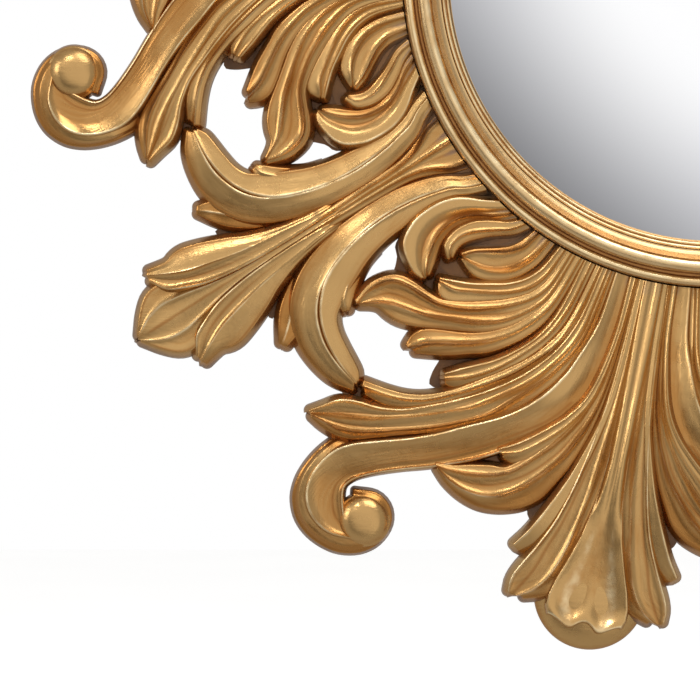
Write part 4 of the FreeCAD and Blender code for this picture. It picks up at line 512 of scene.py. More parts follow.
# ------------------------------------------------------------------- finishes
class Shader:
    """A material's node tree, with short ways to add and join nodes."""

    def __init__(self, name: str) -> None:
        """Start an empty material of that name."""
        self.material = bpy.data.materials.new(name)
        self.material.use_nodes = True
        self.tree = self.material.node_tree
        self.tree.nodes.clear()
        self.surface = self.add("ShaderNodeBsdfPrincipled")
        out = self.add("ShaderNodeOutputMaterial")
        self.tree.links.new(self.surface.outputs["BSDF"], out.inputs["Surface"])

    def add(self, kind: str, **inputs: object) -> bpy.types.Node:
        """Add a node.

        Args:
            kind: Kind of the node.
            **inputs: Values or sockets for its inputs, named with _ for a space.

        Returns:
            The node.
        """
        node = self.tree.nodes.new(kind)
        for key, value in inputs.items():
            self.set(node, key.replace("_", " "), value)
        return node

    def set(self, node: bpy.types.Node, key: str | int, value: object) -> None:
        """Set an input to a plain value, or join a socket to it.

        Args:
            node: The node.
            key: Name or number of the input.
            value: Number, colour, vector or socket.
        """
        if isinstance(value, Socket):
            self.tree.links.new(value, node.inputs[key])
        elif isinstance(value, tuple) and node.inputs[key].type == "RGBA":
            node.inputs[key].default_value = (*value, 1.0)
        else:
            node.inputs[key].default_value = value

    def finish(self, **inputs: object) -> None:
        """Set inputs of the surface itself, named with _ for a space."""
        for key, value in inputs.items():
            self.set(self.surface, key.replace("_", " "), value)

    def attribute(self, name: str) -> Socket:
        """Value carried on the points."""
        node = self.add("ShaderNodeAttribute")
        node.attribute_name = name
        return node.outputs["Fac"]

    def place(self) -> Socket:
        """Object coordinates."""
        return self.add("ShaderNodeTexCoord").outputs["Object"]

    def grain(self) -> Socket:
        """The piece's own UV map, in metres along and across."""
        node = self.add("ShaderNodeUVMap")
        node.uv_map = "grain"
        return node.outputs["UV"]

    def noise(self, at: Socket, scale: float, detail: float = 4.0, rough: float = 0.55) -> Socket:
        """Noise value at a place."""
        return self.add("ShaderNodeTexNoise", Vector=at, Scale=scale, Detail=detail, Roughness=rough).outputs["Fac"]

    def stretched(self, at: Socket, scale: tuple[float, float, float]) -> Socket:
        """Coordinates stretched by a scale along each axis."""
        return self.add("ShaderNodeMapping", Vector=at, Scale=scale).outputs["Vector"]

    def vector(self, kind: str, at: Socket, by: tuple[float, float, float] = (0.0, 0.0, 0.0)) -> bpy.types.Node:
        """Vector arithmetic on a place and a plain vector.

        Args:
            kind: Kind of arithmetic.
            at: The place.
            by: The plain vector.

        Returns:
            The node, with its outputs Vector and Value.
        """
        node = self.add("ShaderNodeVectorMath", Vector=at)
        node.operation = kind
        node.inputs[1].default_value = by
        return node

    def sum(self, kind: str, a: object, b: object = 0.0, c: object = 0.0) -> Socket:
        """Arithmetic on one, two or three values.

        Args:
            kind: Kind of arithmetic.
            a: First value or socket.
            b: Second one.
            c: Third one.

        Returns:
            The result.
        """
        node = self.tree.nodes.new("ShaderNodeMath")
        node.operation = kind
        for i, value in enumerate((a, b, c)):
            self.set(node, i, value)
        return node.outputs[0]

    def span(self, value: object, low: float, high: float, to_low: float = 0.0, to_high: float = 1.0) -> Socket:
        """Move a value smoothly from one range into another and hold it there.

        Args:
            value: Value or socket.
            low: Where the range starts.
            high: Where it ends.
            to_low: Result at its start.
            to_high: Result at its end.

        Returns:
            The result.
        """
        node = self.add("ShaderNodeMapRange", Value=value, From_Min=low, From_Max=high, To_Min=to_low, To_Max=to_high)
        node.interpolation_type = "SMOOTHSTEP"
        return node.outputs["Result"]

    def blend(self, share: object, a: object, b: object) -> Socket:
        """Colour between two.

        Args:
            share: Share of the second.
            a: First colour or socket.
            b: Second one.

        Returns:
            The colour.
        """
        node = self.tree.nodes.new("ShaderNodeMix")
        node.data_type = "RGBA"
        for key, value in ((0, share), (6, a), (7, b)):
            self.set(node, key, value)
        return node.outputs[2]

    def relief(self, height: Socket, depth: float, strength: float = 0.4) -> None:
        """Fine relief in the surface's shading."""
        bump = self.add("ShaderNodeBump", Height=height, Distance=depth, Strength=strength)
        self.set(self.surface, "Normal", bump.outputs["Normal"])


def linear(red: int, green: int, blue: int) -> Colour:
    """Colour as the shader takes it from a colour as a screen shows it."""
    values = np.array([red, green, blue]) / 255.0
    r, g, b = np.where(values <= 0.04045, values / 12.92, ((values + 0.055) / 1.055) ** 2.4)
    return (float(r), float(g), float(b))


@dataclass(frozen=True)
class GiltFinish:
    """Gold leaf with painted light: a pale painted highlight on the ridges, painted shade low in the relief and in the
    grooves, a taupe wash on the walls, and dark painted shade in the recesses.
    """

    name: str = "gold_leaf_painted_light"
    leaf: Colour = linear(194, 154, 98)
    # rubbed_highlight is the colour of a painted highlight on the ridges; shade and deep are painted shade, low in the
    # relief and in the grooves
    rubbed_highlight: Colour = linear(244, 220, 174)
    shade: Colour = linear(172, 120, 62)
    deep: Colour = linear(156, 99, 46)
    wash: Colour = linear(136, 114, 98)
    # soil: painted shade, the dark colour of the recess floors and the root plate
    soil: Colour = linear(78, 58, 42)
    roughness: float = 0.27
    mottle: float = 38.0          # grains a metre of the mottle,
    patches: float = 46.0         # of the patches where the painted highlight shows
    specks: float = 420.0         # and of the specks
    brush: tuple[float, float, float] = (60.0, 420.0, 1.0)    # streaks along and across the leaves
    darkening: float = 0.62       # most of the painted shade in the grooves
    washing: float = 0.8          # most of the wash on the walls
    dulling: float = 0.18         # how much rougher the dark and washed places are
    relief: float = 0.0016

    def material(self) -> bpy.types.Material:
        """Build the material from the values on the points: crest and groove carry painted shade, ridge a painted
        highlight, wall the wash, and soil painted shade on the recess floors.

        Returns:
            The material.
        """
        s = Shader(self.name)
        at = s.place()
        mottle = s.noise(at, self.mottle, 5.0, 0.6)
        streak = s.noise(s.stretched(s.grain(), self.brush), 1.0, 4.0, 0.6)
        uneven = s.sum("MULTIPLY_ADD", streak, 0.5, s.sum("MULTIPLY", mottle, 0.5))
        uneven = s.sum("SUBTRACT", uneven, 0.5)

        def ragged_share(name: str, low: float, high: float) -> Socket:
            """Share of a tone where a value on the points is high, its edge uneven."""
            return s.span(s.sum("ADD", s.attribute(name), uneven), low, high)

        # Painted shade: lower in the relief the leaf turns to the shade colour.
        colour = s.blend(ragged_share("crest", 0.12, 0.78), self.shade, self.leaf)
        # Painted highlight: the pale colour along the ridges, broken into patches.
        patchy = s.span(s.noise(at, self.patches, 3.0, 0.6), 0.36, 0.62, 0.12, 0.9)
        colour = s.blend(s.sum("MULTIPLY", ragged_share("ridge", 0.3, 1.05), patchy), colour, self.rubbed_highlight)
        # Painted shade: the deep colour in the grooves.
        dark = s.sum("MULTIPLY", ragged_share("groove", 0.3, 1.1), self.darkening)
        colour = s.blend(dark, colour, self.deep)
        cloudy = s.sum("MULTIPLY", s.sum("SUBTRACT", mottle, 0.5), 0.9)
        dust = s.sum("MULTIPLY", s.span(s.sum("ADD", s.attribute("wall"), cloudy), 0.25, 0.95), self.washing)
        colour = s.blend(dust, colour, self.wash)
        colour = s.blend(s.span(s.noise(at, self.specks, 3.0, 0.7), 0.66, 0.74, 0.0, 0.25), colour, self.deep)
        # Painted shade: the dark soil colour on the recess floors, mottled; it also makes them duller and less
        # metallic.
        soil = s.sum("MULTIPLY", s.attribute("soil"), s.span(mottle, 0.25, 0.7, 0.7, 1.0))
        rough = s.span(mottle, 0.3, 0.75, self.roughness - 0.07, self.roughness + 0.09)
        s.finish(Base_Color=s.blend(soil, colour, self.soil),
                 Metallic=s.sum("SUBTRACT", 0.92, s.sum("MULTIPLY", s.sum("MAXIMUM", dust, soil), 0.6)),
                 Roughness=s.sum("ADD", rough, s.sum("MULTIPLY", s.sum("ADD", dust, dark), self.dulling)))
        s.relief(s.sum("ADD", s.sum("MULTIPLY", mottle, 0.7), s.sum("MULTIPLY", streak, 0.3)), self.relief)
        return s.material


@dataclass(frozen=True)
class SilveredFinish:
    """Convex silvered glass with a painted reflection of darker surroundings: a little greyer towards its rim."""

    name: str = "silvered_glass"
    clear: Colour = linear(252, 252, 253)
    # the grey of the painted reflection at the rim
    rim: Colour = linear(222, 222, 226)
    fade: Point = (0.06, 0.184)   # metres from the middle where the painted reflection starts to grey and where it ends
    roughness: float = 0.03

    def material(self) -> bpy.types.Material:
        """Build the material; the painted reflection greys with the distance from the middle of the glass.

        Returns:
            The material.
        """
        s = Shader(self.name)
        at = s.place()
        flat = s.vector("MULTIPLY", at, (1.0, 0.0, 1.0)).outputs[0]
        out = s.vector("LENGTH", flat).outputs["Value"]
        rim_shade = s.sum("MULTIPLY_ADD", s.sum("SUBTRACT", s.noise(at, 6.0, 2.0), 0.5), 0.01, out)
        s.finish(Base_Color=s.blend(s.span(rim_shade, *self.fade), self.clear, self.rim), Metallic=1.0,
                 Roughness=self.roughness)
        return s.material


class Grain(Enum):
    """Patterns of the plain finishes, as grains a metre along x, y and z."""

    WOOD = (14.0, 160.0, 160.0)
    BOARD = (260.0, 260.0, 260.0)
    RUBBER = (500.0, 500.0, 500.0)
    METAL = (900.0, 120.0, 900.0)


@dataclass(frozen=True)
class PlainFinish:
    """Finish of the back: wood, board, rubber or metal, with two tones and a fine relief."""

    name: str
    tone: Colour
    other: Colour
    grain: Grain
    roughness: float
    metallic: float = 0.0
    patches: float = 22.0         # grains a metre of the broad tone
    spread: float = 0.06          # of the roughness, either way
    relief: float = 0.0004

    def material(self) -> bpy.types.Material:
        """Build the material from stretched, mottled or fine noise, as its grain asks.

        Returns:
            The material.
        """
        s = Shader(self.name)
        at = s.place()
        fine = s.noise(s.stretched(at, self.grain.value), 1.0, 6.0, 0.65)
        mix = s.sum("MULTIPLY_ADD", s.noise(at, self.patches, 3.0), 0.4, s.sum("MULTIPLY", fine, 0.6))
        s.finish(Base_Color=s.blend(s.span(mix, 0.35, 0.65), self.tone, self.other), Metallic=self.metallic,
                 Roughness=s.span(fine, 0.3, 0.7, self.roughness - self.spread, self.roughness + self.spread))
        s.relief(fine, self.relief)
        return s.material


# ------------------------------------------------------------------- carving
@dataclass(frozen=True)
class Cut:
    """How every leaf is cut; lengths in millimetres."""

    spacing: float = 3.2          # between stations along a leaf
    fineness: int = 7             # points from one rail to the next
    depth: float = 1.25           # factor on the drawn drops
    full_gap: float = 5.5         # width for each gap between rails
    full_spare: float = 3.0       # and over all at which the relief is full,
    fade: float = 0.8             # and the power by which it fades in a narrower place
    narrow_drop: float = 1.2      # drop of the narrowest place
    tip: float = 0.86             # share of the length from which the tip bends down,
    tip_bend: float = 2.2         # and by how much
    grown_d: float = 50.0         # a leaf that starts further out than this rises out of another,
    sunk: float = 9.0             # from this far below
    least: float = 3.0            # least height
    ripple: float = 0.55          # height of the cutter's ripple,
    ripple_x: float = 17.0        # and its lengths over 2 pi
    ripple_z: float = 13.0
    ridge_slope: float = 1.575    # factor on the slope beside a ridge,
    valley_slope: float = 0.425   # and beside a valley
    lean: float = 1.7             # how far a hollow leans to the valley
    bow_reach: float = 16.0       # widest gap that adds to the hollow
    ridge_highlight_reach: float = 0.9       # reach of the painted highlight along a ridge,
    groove_shade_reach: float = 1.6      # of the painted shade along a valley
    crest_shade_reach: float = 6.5       # and of the painted shade below the crest line
    dusty: float = 16.0           # width of the dusty strip beside the moulding
    angles: tuple[float, ...] = (28.0, 55.0, 80.0)    # of the rows round a shoulder, in degrees
    shoulder_share: float = 0.35  # most of the height that a shoulder takes
    knee: tuple[float, float, float] = (0.8, 5.0, 0.4)    # a wall's bend: share of the draft, depth, least share
    wall_mark: Point = (13.0, 7.0)    # height below which a wall is washed, and over how much
    rim_out: float = 0.1          # share of the draft at a leaf's root


CUT = Cut()


@dataclass
class Leaf:
    """One carved leaf: rails from root to tip, closed by drafted side walls and a flat back.

    spread is the share of the draft on the side of the first rail, foot the
    height of the underside, bow how hollow the flanks are, and rise the share
    of the length over which a leaf rises out of another one.
    """

    rails: Rails
    half: Half
    turn: float = 0.0
    spread: float = 1.0
    foot: float = 0.0
    draft: float = LEAF_DRAFT
    shoulder: float = 1.3
    bow: float = 0.12
    rise: float = 0.16

    def plan(self) -> tuple[np.ndarray, np.ndarray, np.ndarray]:
        """Rails in plan.

        Returns:
            Millimetres (rail, station, x and z), the d of each, and the drop of each.
        """
        placed = []
        for _, pairs in self.rails:
            phi, d = np.array(pairs, float).T
            d = np.where(d <= ROOT_D, d - ROOT_TUCK, d)
            placed.append(np.column_stack([in_plan(phi, d, self.half, self.turn), d]))
        steps = [np.linalg.norm(np.diff(p[:, :2], axis=0), axis=1) for p in placed]
        stations = int(max(s.sum() for s in steps) / CUT.spacing) + 4
        even = len({len(p) for p in placed}) == 1
        marks = running(np.mean(steps, axis=0)) if even else None
        runs = np.stack([smooth_run(p, stations, marks) for p in placed])
        ends = [drop if isinstance(drop, tuple) else (drop, drop) for drop, _ in self.rails]
        drop = np.stack([np.linspace(first, last, stations) for first, last in ends])
        return runs[..., :2], runs[..., 2], drop

    def heights(self, plan: np.ndarray, d: np.ndarray, drop: np.ndarray, relief: np.ndarray) -> np.ndarray:
        """Heights of the rails over the back.

        The drops fade with the relief, a slow ripple is laid over them, the tip
        bends down, and a leaf that starts from another one rises out of it.

        Args:
            plan: Rails in plan.
            d: Distance of each point from the moulding.
            drop: Drop of each point below the crest line.
            relief: Share of the relief at each station.

        Returns:
            Heights (rail, station).
        """
        drop = np.where(drop < 0, drop * CUT.depth, drop) * relief - CUT.narrow_drop * (1 - relief)
        along = np.linspace(0.0, 1.0, d.shape[1])
        tip = np.clip((along - CUT.tip) / (1.0 - CUT.tip), 0.0, 1.0)
        sunk = np.clip(1.0 - along / self.rise, 0.0, 1.0) if d[0, 0] > CUT.grown_d else 0.0 * along
        ripple = np.sin(plan[..., 0] / CUT.ripple_x + drop) * np.sin(plan[..., 1] / CUT.ripple_z + 1.3 * along)
        height = crest_line(d) + drop + CUT.ripple * ripple * relief - CUT.tip_bend * tip**2 - CUT.sunk * sunk**1.5
        return np.maximum(height, CUT.least)

    def surface(self) -> Surface:
        """The leaf as a closed surface.

        Across each station the height is a cubic between neighbouring rails,
        with even slope where it runs on past a rail, steep beside a ridge and
        nearly level in a valley.  The relief fades where the leaf gets narrow.

        Returns:
            Points, quads and the values crest, ridge, groove and wall: painted shade below the crest line, a painted
            highlight along the ridges, painted shade along the valleys, and the wash.
        """
        plan, d, drop = self.plan()
        rails, stations = d.shape
        gap = np.maximum(np.linalg.norm(np.diff(plan, axis=0), axis=2), 0.25)
        relief = np.clip(gap.sum(axis=0) / (CUT.full_gap * (rails - 1) + CUT.full_spare), 0.0, 1.0) ** CUT.fade
        height = self.heights(plan, d, drop, relief)

        chord = np.diff(height, axis=0) / gap
        before = np.concatenate([chord[:1] * 0, chord])
        after = np.concatenate([chord, chord[-1:] * 0])
        ridged = (before >= 0) & (after <= 0)
        hollow = (before <= 0) & (after >= 0) & ~ridged
        ridged[0], ridged[-1] = after[0] <= 0, before[-1] >= 0
        hollow[0], hollow[-1] = ~ridged[0], ~ridged[-1]
        both, total = before * after, before + after
        even = np.where(both > 0, 2 * both / np.where(np.abs(total) < 1e-9, 1e-9, total), 0.0)
        factor = np.where(ridged, CUT.ridge_slope, CUT.valley_slope)
        left, right = (np.where(ridged | hollow, slope * factor, even) for slope in (before, after))

        t = (0.5 - 0.5 * np.cos(np.pi * np.arange(CUT.fineness) / CUT.fineness))[None, :, None]
        reach = gap[:, None]
        tall = cubic(t, (height[:-1, None], height[1:, None]), (reach * right[:-1, None], reach * left[1:, None]))
        lean = np.where(hollow[1:, None], CUT.lean * (1 - t), 1.0) * np.where(hollow[:-1, None], CUT.lean * t, 1.0)
        lean = lean * (ridged | hollow)[1:, None] * (ridged | hollow)[:-1, None]
        tall = tall - self.bow * np.minimum(reach, CUT.bow_reach) * 4 * t * (1 - t) * lean * relief
        flat = plan[:-1, None] * (1 - t[..., None]) + plan[1:, None] * t[..., None]
        run = running(gap)
        across = run[:-1, None] + reach * t
        tall, flat, across = (np.concatenate([inner.reshape(-1, *last.shape[1:]), last])
                              for inner, last in ((tall, height[-1:]), (flat, plan[-1:]), (across, run[-1:])))

        near = np.abs(across[:, None] - run[None])
        # Painted highlight along the ridge rails, painted shade along the valley rails and below the crest line.
        ridge = (np.exp(-(near / CUT.ridge_highlight_reach) ** 2) * ridged[None]).max(axis=1) * relief
        groove = (np.exp(-(near / CUT.groove_shade_reach) ** 2) * hollow[None]).max(axis=1) * relief
        crest = np.clip(1.0 - (crest_line(d).mean(axis=0) - tall) / CUT.crest_shade_reach, 0.0, 1.0)
        dust = np.clip(groove + 0.25, 0.0, 1.0) * np.clip(1.0 - d.mean(axis=0) / CUT.dusty, 0.0, 0.8)
        return self.skirted(flat, tall, {"crest": crest, "ridge": ridge, "groove": groove, "wall": dust}, across)

    def skirted(self, flat: np.ndarray, tall: np.ndarray, tones: dict[str, np.ndarray],
                across: np.ndarray) -> Surface:
        """Add the side walls and the back to a leaf's top.

        The top's grid is carried on past its border: each further row stands
        out by r sin a and lies lower by r (1 - cos a) round the shoulder, then
        bends at the knee and runs straight to the foot.  The border of the last
        row is the outline of the flat back.

        Args:
            flat: Plan of the top (across, along, x and z).
            tall: Heights.
            tones: Values crest, ridge, groove and wall of the top.
            across: Distance across.

        Returns:
            The closed surface.
        """
        m, n = tall.shape
        turn = np.radians(CUT.angles)
        out = np.concatenate([[0.0], np.sin(turn), [0.0, 0.0]])
        fall = np.concatenate([[0.0], 1 - np.cos(turn), [0.0, 0.0]])
        foot = len(out) - 1
        i, j = np.arange(-foot, m + foot)[:, None], np.arange(-foot, n + foot)[None]
        row, column = np.clip(i, 0, m - 1), np.clip(j, 0, n - 1)
        past_i, past_j = np.abs(i - row), np.abs(j - column)
        level = np.maximum(past_i, past_j)

        lead = np.gradient(flat, axis=1)
        lead = lead / np.maximum(np.linalg.norm(lead, axis=2, keepdims=True), 1e-9)
        side = np.stack([lead[..., 1], -lead[..., 0]], axis=-1)
        if np.dot(flat[-1, n // 2] - flat[0, n // 2], side[0, n // 2]) <= 0:
            side = -side
        diagonal = np.maximum(np.hypot(past_i, past_j), 1e-9)
        share_i = (i - row) / diagonal * np.where(i < 0, self.spread, 1.0)
        share_j = (j - column) / diagonal * np.where(j < 0, CUT.rim_out, 1.0)

        edge = tall[row, column]
        radius = np.minimum(self.shoulder, edge * CUT.shoulder_share)
        bend, deep, least = CUT.knee
        stand = np.where(level == foot, self.draft, np.where(level == foot - 1, self.draft * bend, radius * out[level]))
        base = (flat[row, column] + side[row, column] * (stand * share_i)[..., None]
                + lead[row, column] * (stand * share_j)[..., None])
        high = np.where(level == foot - 1, np.maximum(edge - deep, edge * least), edge - radius * fall[level])
        high = np.where(level == foot, self.foot, high)
        points = to_space(base[..., 0], base[..., 1], high).reshape(-1, 3)

        shape = level.shape
        index = np.arange(level.size).reshape(shape)
        outline = np.concatenate([index[0, :-1], index[:-1, -1], index[-1, :0:-1], index[:0:-1, 0]])
        polygons = [grid_quads(*shape), outline[::-1][None]]
        p = points[polygons[0]]
        if np.cross(p[:, 2] - p[:, 0], p[:, 3] - p[:, 1])[:, 1].sum() > 0:
            polygons = [q[:, ::-1] for q in polygons]

        inside, wall = level == 0, level > 2
        washed = np.where(wall, np.clip((CUT.wall_mark[0] - high) / CUT.wall_mark[1], 0.0, 1.0), 0.0)
        crest, ridge, groove, dust = (tones[key][row, column] for key in ("crest", "ridge", "groove", "wall"))
        # Painted shade on the shoulders and walls: a little off the crest tone, and some groove shade on the walls; the
        # painted highlight stays on the top and the first row round it.
        values = {"crest": np.where(inside, crest, crest * 0.9), "ridge": np.where(level <= 1, ridge, 0.0),
                  "groove": np.where(inside, groove, 0.4 * wall), "wall": np.where(inside, dust, washed)}
        length = n * CUT.spacing
        uv = np.stack([np.broadcast_to(np.linspace(0, length, n)[column], shape),
                       across[row, column] + past_i * 1.5], axis=-1) * MM
        return Surface(points, polygons, {key: value.ravel() for key, value in values.items()}, uv.reshape(-1, 2))


def mirrored(rails: Rails) -> Rails:
    """Rails of a leaf that straddles a fan axis, from one side to the other."""
    return rails[::-1] + [(drop, [(2 * AXIS - phi, d) for phi, d in line]) for drop, line in rails[1:]]


def wound(outline: np.ndarray) -> np.ndarray:
    """Corners of an outline, x and z, always in the same sense round it."""
    x, z = outline.T
    return outline[::-1] if np.sum(x * np.roll(z, -1) - z * np.roll(x, -1)) < 0 else outline


def slab(outline: np.ndarray, height: float, foot: float, **tones: float) -> Surface:
    """Flat slab: an outline at two heights, with walls between.

    Args:
        outline: Corners, x and z in millimetres.
        height: Height of its top over the back.
        foot: Height of its underside.
        **tones: Values on all its points.

    Returns:
        The closed slab.
    """
    x, z = wound(outline).T
    n = len(x)
    points = np.concatenate([to_space(x, z, np.full(n, level)) for level in (height, foot)])
    ring = np.arange(n)
    walls = np.stack([ring, ring + n, np.roll(ring, -1) + n, np.roll(ring, -1)], axis=1)
    return Surface(points, [ring[None], walls, (ring + n)[::-1][None]],
                   {key: np.full(2 * n, value) for key, value in tones.items()})


def ground(outline: list[Point], height: float, half: Half, turn: float, foot: float) -> Surface:
    """Flat floor of a recess, its outline smooth through the drawn corners.

    Args:
        outline: Corners as (phi, d).
        height: Height of the floor over the back.
        half: Half of the repeat.
        turn: Turn of the block in degrees.
        foot: Height of its underside.

    Returns:
        The closed slab.
    """
    phi, d = np.array(outline, float).T
    corners = wound(in_plan(phi, d, half, turn))
    smooth = smooth_run(np.concatenate([corners, corners[:1]]), 6 * len(corners))[:-1]
    # Painted shade: the floor takes full groove shade and the dark soil tone; wall is the wash.
    return slab(smooth, height, foot, groove=1.2, wall=0.45, soil=0.85)


@dataclass(frozen=True)
class RootPlate:
    """Thin ground beside the moulding: a slab of a ring between two radii."""

    inner: float = 205.2
    outer: float = 262.5
    height: float = 5.6
    steps: int = 60

    def surface(self, start: float, stop: float, foot: float) -> Surface:
        """The plate between two angles.

        Args:
            start: First angle from straight down.
            stop: Last angle.
            foot: Height of its underside.

        Returns:
            The closed slab.
        """
        a = np.radians(np.linspace(start, stop, self.steps))
        ring = np.stack([-np.sin(a), -np.cos(a)], axis=1)
        outline = np.concatenate([ring * self.inner, ring[::-1] * self.outer])
        # Painted shade: the plate sits low in the crest tone and takes groove shade and the dark soil tone; wall is the
        # wash.
        return slab(outline, self.height, foot, crest=0.05, groove=0.85, wall=0.3, soil=0.8)


def capped(centre: Point, radius: np.ndarray, height: np.ndarray, poles: Point, around: int) -> Surface:
    """Profile turned about an axis along y, closed at the front and the back by fans about a pole.

    Args:
        centre: The axis, x and z in millimetres.
        radius: Radius of each corner, from the front pole to the back one.
        height: Its height over the carving's back.
        poles: Heights of the two poles.
        around: Points round the axis.

    Returns:
        The closed surface; its last two points are the poles.
    """
    theta = np.linspace(0, 2 * np.pi, around, endpoint=False)
    x, z = centre[0] + radius[:, None] * np.cos(theta), centre[1] + radius[:, None] * np.sin(theta)
    points = to_space(x, z, np.broadcast_to(height[:, None], x.shape)).reshape(-1, 3)
    front = len(points)
    last, ring = front - around, np.arange(around)
    ahead = np.roll(ring, -1)
    fans = [np.stack([np.full(around, front), ring, ahead], axis=1),
            np.stack([np.full(around, front + 1), last + ahead, last + ring], axis=1)]
    points = np.concatenate([points, to_space(np.full(2, centre[0]), np.full(2, centre[1]), np.array(poles))])
    return Surface(points, [grid_quads(len(radius), around, wrap=True)[:, ::-1], *fans])


def boss(at: Point, half: Half, turn: float, profile: np.ndarray, foot: float, around: int = 72) -> Surface:
    """Round boss: a profile of radius and height turned about a drawn point.

    Args:
        at: Its middle as (phi, d).
        half: Half of the repeat.
        turn: Turn of the block in degrees.
        profile: Radius and height in millimetres, from the middle of the top outwards.
        foot: Height of the underside.
        around: Points round the boss.

    Returns:
        The closed surface, washed on its back and where it is steep, with painted shade on its slopes.
    """
    radius, height = np.concatenate([profile, [[profile[-1, 0], foot]]]).T
    made = capped(tuple(in_plan(*at, half, turn)), radius, height, (height[0], foot), around)
    drop, out = np.gradient(height), np.gradient(radius)
    slope = np.abs(drop) / np.maximum(np.hypot(out, drop), 1e-6)
    steep = np.append(np.repeat(np.clip(slope * 1.4 - 0.5, 0, 1), around), [0.0, 1.0])
    wall = np.clip(steep - 0.45, 0, 1)
    wall[-2 - around:-2] = wall[-1] = 1.0
    # Painted shade: the steeper the profile, the lower its crest tone and the more groove shade.
    made.values = {"crest": 1.0 - steep * 0.9, "groove": steep * 0.15, "wall": wall}
    return made


@dataclass(frozen=True)
class Tongue:
    """Middle of a palmette: a narrow double ridge that opens into a hollow tongue.  Millimetres."""

    halves: tuple[Point, ...] = ((4, 2.1), (25, 1.9), (55, 1.5), (85, 1.25), (120, 1.1), (150, 1.4), (172, 1.95),
                                 (190, 2.65), (203, 3.2), (214, 3.5), (221, 3.45), (226, 3.15), (231, 2.7))
    start: float = 0.6            # d of its root
    lip: float = 225.5            # d of its lip,
    lobes: float = 5.2            # and how much further the lip's two lobes reach
    opens: Point = (130.0, 60.0)  # d from which it opens, and over how much
    groove: float = 1.6           # between the two ridges
    flank: float = 4.0            # drop of the ridges' outer edges
    hollow: float = 4.8           # depth of the hollow,
    sides: float = 4.0            # and how far its sides come up again
    curl: Point = (4.4, 6.5)      # rise of the lip, and its width
    fold: float = 3.2             # rise of the middle fold
    fold_from: Point = (196.0, 28.0)
    across: int = 49
    along: int = 150

    def surface(self, turn: float) -> Surface:
        """The tongue as a closed surface.

        Across, u runs from -1 to 1, and along the tongue from the root to a lip
        shaped like an m, 225.5 + 5.2 sin(pi u)^2 out.  The height drops below
        the crest line by a double ridge above and a shallow hollow below, and
        the hollow curls up into the lip with a low fold in its middle.

        Args:
            turn: Turn of the block in degrees.

        Returns:
            Points, quads and values.
        """
        u = np.linspace(-1.0, 1.0, self.across)[:, None]
        end = self.lip + self.lobes * np.sin(np.pi * u) ** 2
        d = self.start + np.linspace(0.0, 1.0, self.along)[None] * (end - self.start)
        half = np.interp(d, *np.array(self.halves, float).T)
        flat = in_plan(u * half, d, Half.WIDE, turn)
        opened = eased((d - self.opens[0]) / self.opens[1])
        above = -self.groove * np.exp(-((u / 0.3) ** 2)) - self.flank * np.abs(u) ** 4
        below = -self.hollow + self.sides * np.abs(u) ** 2.4
        edge = (end - d) * (1.0 - 0.25 * np.abs(u))
        curl = np.exp(-((edge / self.curl[1]) ** 2)) * (1 - u**4)
        fold = self.fold * np.exp(-((u / 0.2) ** 2)) * np.clip((d - self.fold_from[0]) / self.fold_from[1], 0.0, 1.0)
        drop = above * (1 - opened) + opened * (below + self.curl[0] * curl + fold * (1 - curl))
        # Painted highlight along the lip, at the far sides and on the cheeks; painted shade below the crest line and in
        # the groove between the ridges.
        rim = np.maximum(np.exp(-(edge**2)), 0.55 * np.abs(u) ** 14)
        cheek_highlight = 0.8 * opened * np.exp(-(((np.abs(u) - 0.55) / 0.24) ** 2))
        tones = {"crest": np.clip(1.0 + drop / 9.0, 0, 1), "ridge": np.maximum(rim, cheek_highlight),
                 "groove": 0.55 * np.exp(-((u / 0.16) ** 2)) * (1 - opened),
                 "wall": np.clip(1.0 - d / CUT.dusty, 0.0, 0.5)}
        side = Leaf([], Half.WIDE, turn, foot=0.02, draft=2.4, shoulder=1.0)
        return side.skirted(flat, crest_line(d) + drop, tones, np.broadcast_to((u + 1) * 9.0, d.shape))


def feet(start: float) -> Iterator[float]:
    """Undersides of the parts of a block, each a little higher than the last."""
    return (start + FOOT_STEP * i for i in count())


